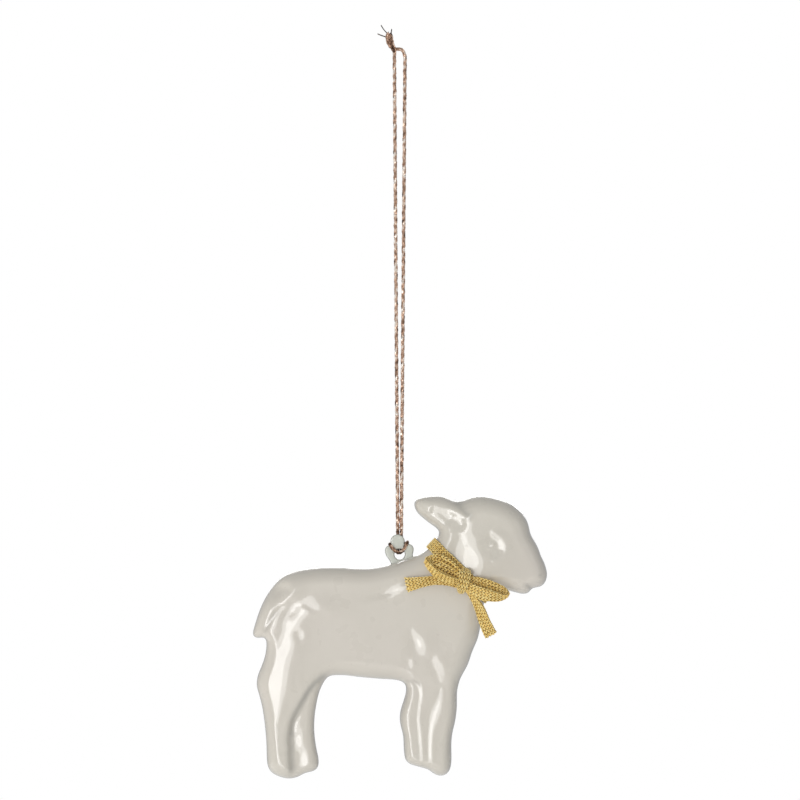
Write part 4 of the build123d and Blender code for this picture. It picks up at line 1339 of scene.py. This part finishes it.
rr = node(nt, "ShaderNodeMapRange", {"Value": speck.outputs["Distance"], "From Min": 0.0, "From Max": 0.6, "To Min": 0.16, "To Max": 0.42})
nt.links.new(rr.outputs[0], b.inputs["Roughness"])
bmp = node(nt, "ShaderNodeBump", {"Height": speck.outputs["Distance"], "Strength": 0.5, "Distance": 0.0001})
nt.links.new(bmp.outputs[0], b.inputs["Normal"])

fila, nt, b = new_material("loose_filament")
tex = node(nt, "ShaderNodeTexCoord")
n1 = node(nt, "ShaderNodeTexNoise", {"Vector": tex.outputs["Object"], "Scale": 900.0, "Detail": 2.0})
col = ramp(nt, n1.outputs["Fac"], [(0.3, (0.045, 0.042, 0.04)), (0.6, (0.16, 0.13, 0.11)), (0.8, (0.42, 0.36, 0.30))])
nt.links.new(col.outputs[0], b.inputs["Base Color"])
b.inputs["Metallic"].default_value = 0.5
b.inputs["Roughness"].default_value = 0.35


def finish_with(obj, material):
    obj.data.materials.clear()
    obj.data.materials.append(material)


for o in (front, back):
    finish_with(o, enamel_mat)
finish_with(eyelet, plate_mat)
for o in (collar, loop_l, loop_r, tail_l, tail_r, knot):
    finish_with(o, rib)
for o in (strand_left, strand_right, neck_upper, neck_lower, hitch, twine_knot):
    finish_with(o, foil)
finish_with(twine_ends, fila)

# ------------------------------------------------- what each piece rides on ----
for o, replaced in (
    (front, ("front_shell",)),
    (back, ("back_shell",)),
    (eyelet, ("eyelet",)),
    (collar, ("ribbon_collar",)),
    (loop_l, ("bow_loop_left",)),
    (loop_r, ("bow_loop_right",)),
    (tail_l, ("bow_tail_left",)),
    (tail_r, ("bow_tail_right",)),
    (knot, ("bow_knot",)),
    (hitch, ("twine_hitch",)),
):
    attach(o, "lamb")
    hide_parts(*replaced)
for o, replaced in ((twine_knot, "twine_knot"), (twine_ends, "twine_ends")):
    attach(o, "hanger")
    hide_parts(replaced)
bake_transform(strand_left)
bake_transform(strand_right)
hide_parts("twine_strand_left")
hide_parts("twine_strand_right")
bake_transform(neck_upper)
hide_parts("twine_neck_upper")
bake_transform(neck_lower)
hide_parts("twine_neck_lower")

# ------------------------------------------------------------ floor, light ----
floor_mesh = bpy.data.meshes.new("floor")
floor_mesh.from_pydata(
    [(-1.3, -1.3, -0.56), (1.3, -1.3, -0.56), (1.3, 1.3, -0.56), (-1.3, 1.3, -0.56)], [], [(0, 1, 2, 3)]
)
floor = bpy.data.objects.new("floor", floor_mesh)
bpy.context.scene.collection.objects.link(floor)
fm, nt, b = new_material("floor_pale")
tex = node(nt, "ShaderNodeTexCoord")
n1 = node(nt, "ShaderNodeTexNoise", {"Vector": tex.outputs["Object"], "Scale": 3.0, "Detail": 2.0})
col = ramp(nt, n1.outputs["Fac"], [(0.2, (0.86, 0.86, 0.86)), (0.8, (0.90, 0.90, 0.90))])
nt.links.new(col.outputs[0], b.inputs["Base Color"])
b.inputs["Roughness"].default_value = 0.9
floor.data.materials.append(fm)


def softbox(name, azimuth, elevation, distance, width, height_m, radiance, target=(0, 0, -0.14), color=(1, 1, 1)):
    """A rectangular light; azimuth is degrees to the right of the viewer as seen from the object."""
    data = bpy.data.lights.new(name, "AREA")
    data.shape = "RECTANGLE"
    data.size, data.size_y = width, height_m
    data.energy = radiance * math.pi * width * height_m
    data.color = color
    obj = bpy.data.objects.new(name, data)
    a, e = math.radians(azimuth), math.radians(elevation)
    way = Vector((math.sin(a) * math.cos(e), -math.cos(a) * math.cos(e), math.sin(e)))
    obj.location = Vector(target) + way * distance
    obj.rotation_mode = "QUATERNION"
    obj.rotation_quaternion = way.to_track_quat("Z", "Y")
    obj.visible_camera = False
    bpy.context.scene.collection.objects.link(obj)
    return obj


softbox("key_core", -22, -6, 1.0, 0.20, 0.48, 3.4)
softbox("key_wide", -18, -6, 1.05, 0.50, 0.64, 2.7)
softbox("front", 4, 14, 1.5, 1.2, 1.0, 0.40).visible_glossy = False
softbox("side_left", -100, 2, 1.1, 0.7, 0.9, 1.7).visible_glossy = False
softbox("below", 0, -72, 0.36, 0.45, 0.45, 0.16).visible_glossy = False
softbox("fill_right", 62, 10, 1.0, 0.5, 0.8, 0.35)
softbox("back_rim", 180, 25, 1.2, 0.8, 0.8, 2.2)

world = bpy.data.worlds.new("studio")
bpy.context.scene.world = world
world.use_nodes = True
nt = world.node_tree
nt.nodes.clear()
out = nt.nodes.new("ShaderNodeOutputWorld")
seen = node(nt, "ShaderNodeBackground", {"Color": (1, 1, 1, 1), "Strength": 1.0})
around = node(nt, "ShaderNodeBackground", {"Color": (0.96, 0.98, 1.0, 1), "Strength": 0.42})
ray_kind = node(nt, "ShaderNodeLightPath")
mix = node(nt, "ShaderNodeMixShader")
nt.links.new(ray_kind.outputs["Is Camera Ray"], mix.inputs[0])
nt.links.new(around.outputs[0], mix.inputs[1])
nt.links.new(seen.outputs[0], mix.inputs[2])
nt.links.new(mix.outputs[0], out.inputs[0])

bpy.context.scene.view_settings.view_transform = "Standard"
bpy.context.scene.view_settings.look = "None"
